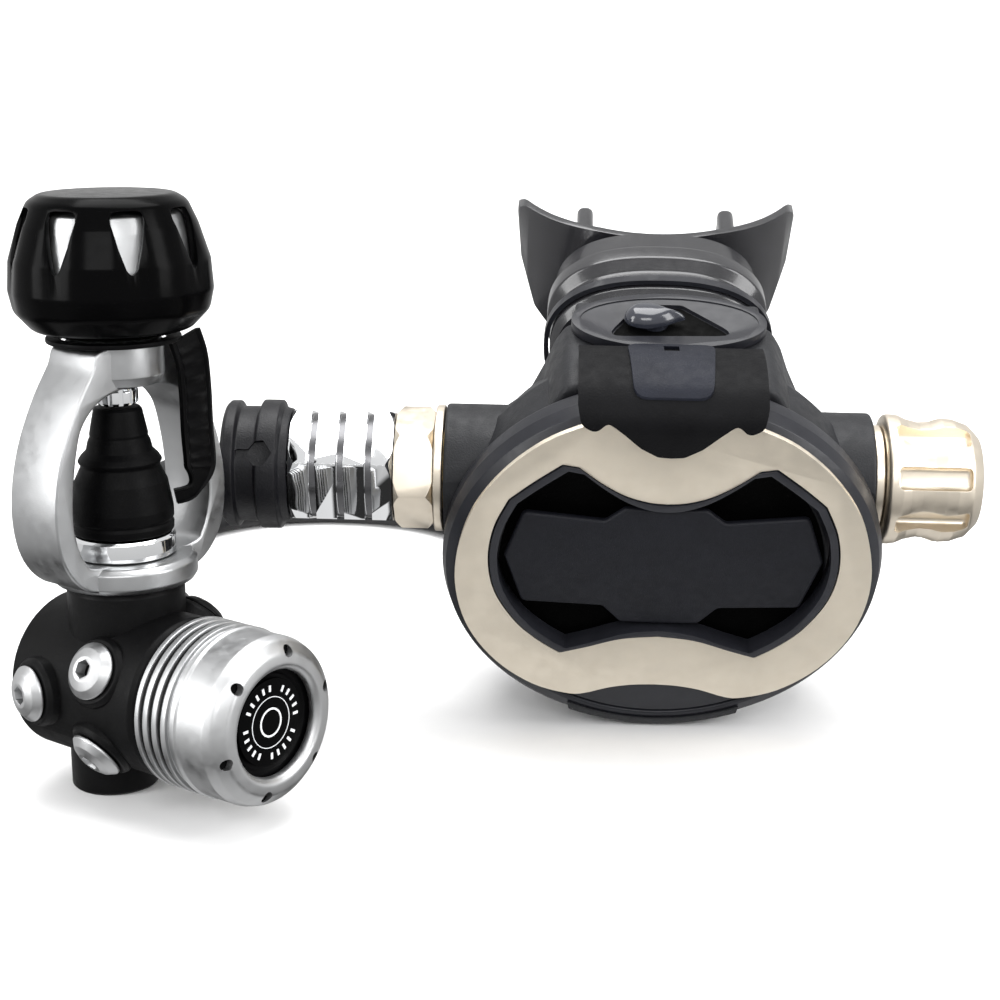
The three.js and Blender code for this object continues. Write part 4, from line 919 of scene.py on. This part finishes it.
def exhaust():
    made = slab("exhaust_deflector_skin", filleted(WINGS, 4), -28, -3, COVER_FACE)
    rounded(made, 1.2, 4, 50)
    case_room = [(0, -14), (45.6, -14), (45.2, 0), (41.6, 8.2), (38.4, 14.2), (31.8, 26), (31.8, 40), (0, 40)]
    room = turned("room", case_room, COVER_AXIS, 0, FINE, squash=COVER_SQUASH)
    tube_room = turned("tube", [(0, -58.8), (12.4, -58.8), (12.4, -30), (0, -30)],
                       SECOND @ Matrix.Translation((0, VALVE_Y, 0)), 0)
    outlets = [block("outlet", 20, 8, 14, (side * 33, 28, -46), SECOND) for side in (-1, 1)]
    return cut(made, room, slab("channel", filleted(CHANNEL, 3), -26, -5, COVER_FACE), tube_room, *outlets)


wear(exhaust(), "grained", "exhaust_deflector", 30)


def lower_clip():
    """The deflector's front edge, hooked over the bottom of the cover's rim."""
    made = turned("lower_clip", [(43, -24.1), (45, -23.7), (47.1, -21.6), (48, -18), (48, -15), (47.7, -15),
                                 (47.7, -18), (46.8, -21.2), (44.9, -23.1), (43, -23.5)],
                  COVER_AXIS, 0.2, FINEST, squash=COVER_SQUASH)
    outline = [(-20, -44), (-16, -43), (16, -43), (20, -44), (17.5, -62), (-17.5, -62)]
    return combined(made, [slab("reach", outline, 10, 30, COVER_FACE)], "INTERSECT")


wear(rounded(lower_clip(), 0.12, 2), "grained", "exhaust_deflector", 30, trim=True)

# ---- pieces inside keep their CAD mesh ----
INSIDE = {
    "filter": ["inlet_filter"],
    "rubber": ["inlet_oring", "main_diaphragm"],
    "smooth": ["load_transmitter", "poppet"],
    "brass": ["spring_adjuster", "first_stage_poppet", "air_barrel", "spring_seat"],
    "steel": ["main_spring", "poppet_spring", "valve_pin", "diaphragm_plate", "inlet_orifice",
              "poppet_valve_spring", "demand_lever", "adjuster_screw"],
    "silicone": ["demand_diaphragm", "exhaust_valve"],
}
for look, nodes in INSIDE.items():
    for node in nodes:
        materials = frame["nodes"][node].data.materials
        materials.clear()
        materials.append(FINISH[look])


# ---- floor, backdrop and light ----
def sweep():
    """A pale floor that curves up into a backdrop behind."""
    half, front, bend_at, bend, top = 3000, -3000, 1300, 600, 2600
    line = [(front, 0), (bend_at, 0)]
    line += [(bend_at + bend * math.sin(t), bend * (1 - math.cos(t)))
             for t in (math.pi / 2 * k / 16 for k in range(1, 17))]
    line.append((bend_at + bend, top))
    vertices = [(x, y, z) for y, z in line for x in (-half, half)]
    faces = [(2 * i, 2 * i + 1, 2 * i + 3, 2 * i + 2) for i in range(len(line) - 1)]
    made = mesh("floor", vertices, faces, Matrix.Identity(4))
    made.data.polygons.foreach_set("use_smooth", [True] * len(made.data.polygons))
    return made


floor = sweep()
floor.data.materials.append(finish("pale_floor", (0.86, 0.86, 0.86), 0.9, 0, (60, 0.01), 0.01))
floor.visible_glossy = False


def area_light(name, at, aim, size, power):
    light = bpy.data.objects.new(name, bpy.data.lights.new(name, "AREA"))
    light.data.shape = "RECTANGLE"
    light.data.size, light.data.size_y = size
    light.data.energy = power
    light.location = at
    light.rotation_euler = (Vector(aim) - Vector(at)).to_track_quat("-Z", "Y").to_euler()
    bpy.context.collection.objects.link(light)


area_light("top", (0.1, 0.1, 0.9), (0.08, 0.03, 0.05), (0.9, 0.7), 11)
area_light("left", (-0.75, -0.35, 0.35), (0.03, 0.02, 0.06), (0.35, 0.7), 5)
area_light("right", (0.85, -0.3, 0.4), (0.1, 0.02, 0.06), (0.35, 0.7), 5)
area_light("front", (0.1, -1.0, 0.6), (0.08, 0.03, 0.06), (0.9, 0.3), 5)
area_light("backdrop", (0.1, 0.9, 1.2), (0.1, 1.8, 0.6), (1.6, 0.6), 22)

# A pale sky with one dark ring low down, so that polished metal has something dark to show.
world = bpy.data.worlds.new("studio")
bpy.context.scene.world = world
world.use_nodes = True
sky = world.node_tree
place = sky.nodes.new("ShaderNodeTexCoord")
split = sky.nodes.new("ShaderNodeSeparateXYZ")
ramp = sky.nodes.new("ShaderNodeValToRGB")
ramp.color_ramp.elements.remove(ramp.color_ramp.elements[1])
for position, level in ((0.1, 0.85), (0.12, 0.03), (0.19, 0.03), (0.26, 0.55), (0.5, 0.75), (1, 0.85)):
    ramp.color_ramp.elements.new(position).color = (level, level, level, 1)
ramp.color_ramp.elements[0].color = (0.8, 0.8, 0.8, 1)
height = sky.nodes.new("ShaderNodeMapRange")
height.inputs["From Min"].default_value = -1
sky.links.new(place.outputs["Generated"], split.inputs["Vector"])
sky.links.new(split.outputs["Z"], height.inputs["Value"])
sky.links.new(height.outputs["Result"], ramp.inputs["Fac"])
sky.links.new(ramp.outputs["Color"], sky.nodes["Background"].inputs["Color"])
bpy.context.scene.view_settings.view_transform = "Standard"
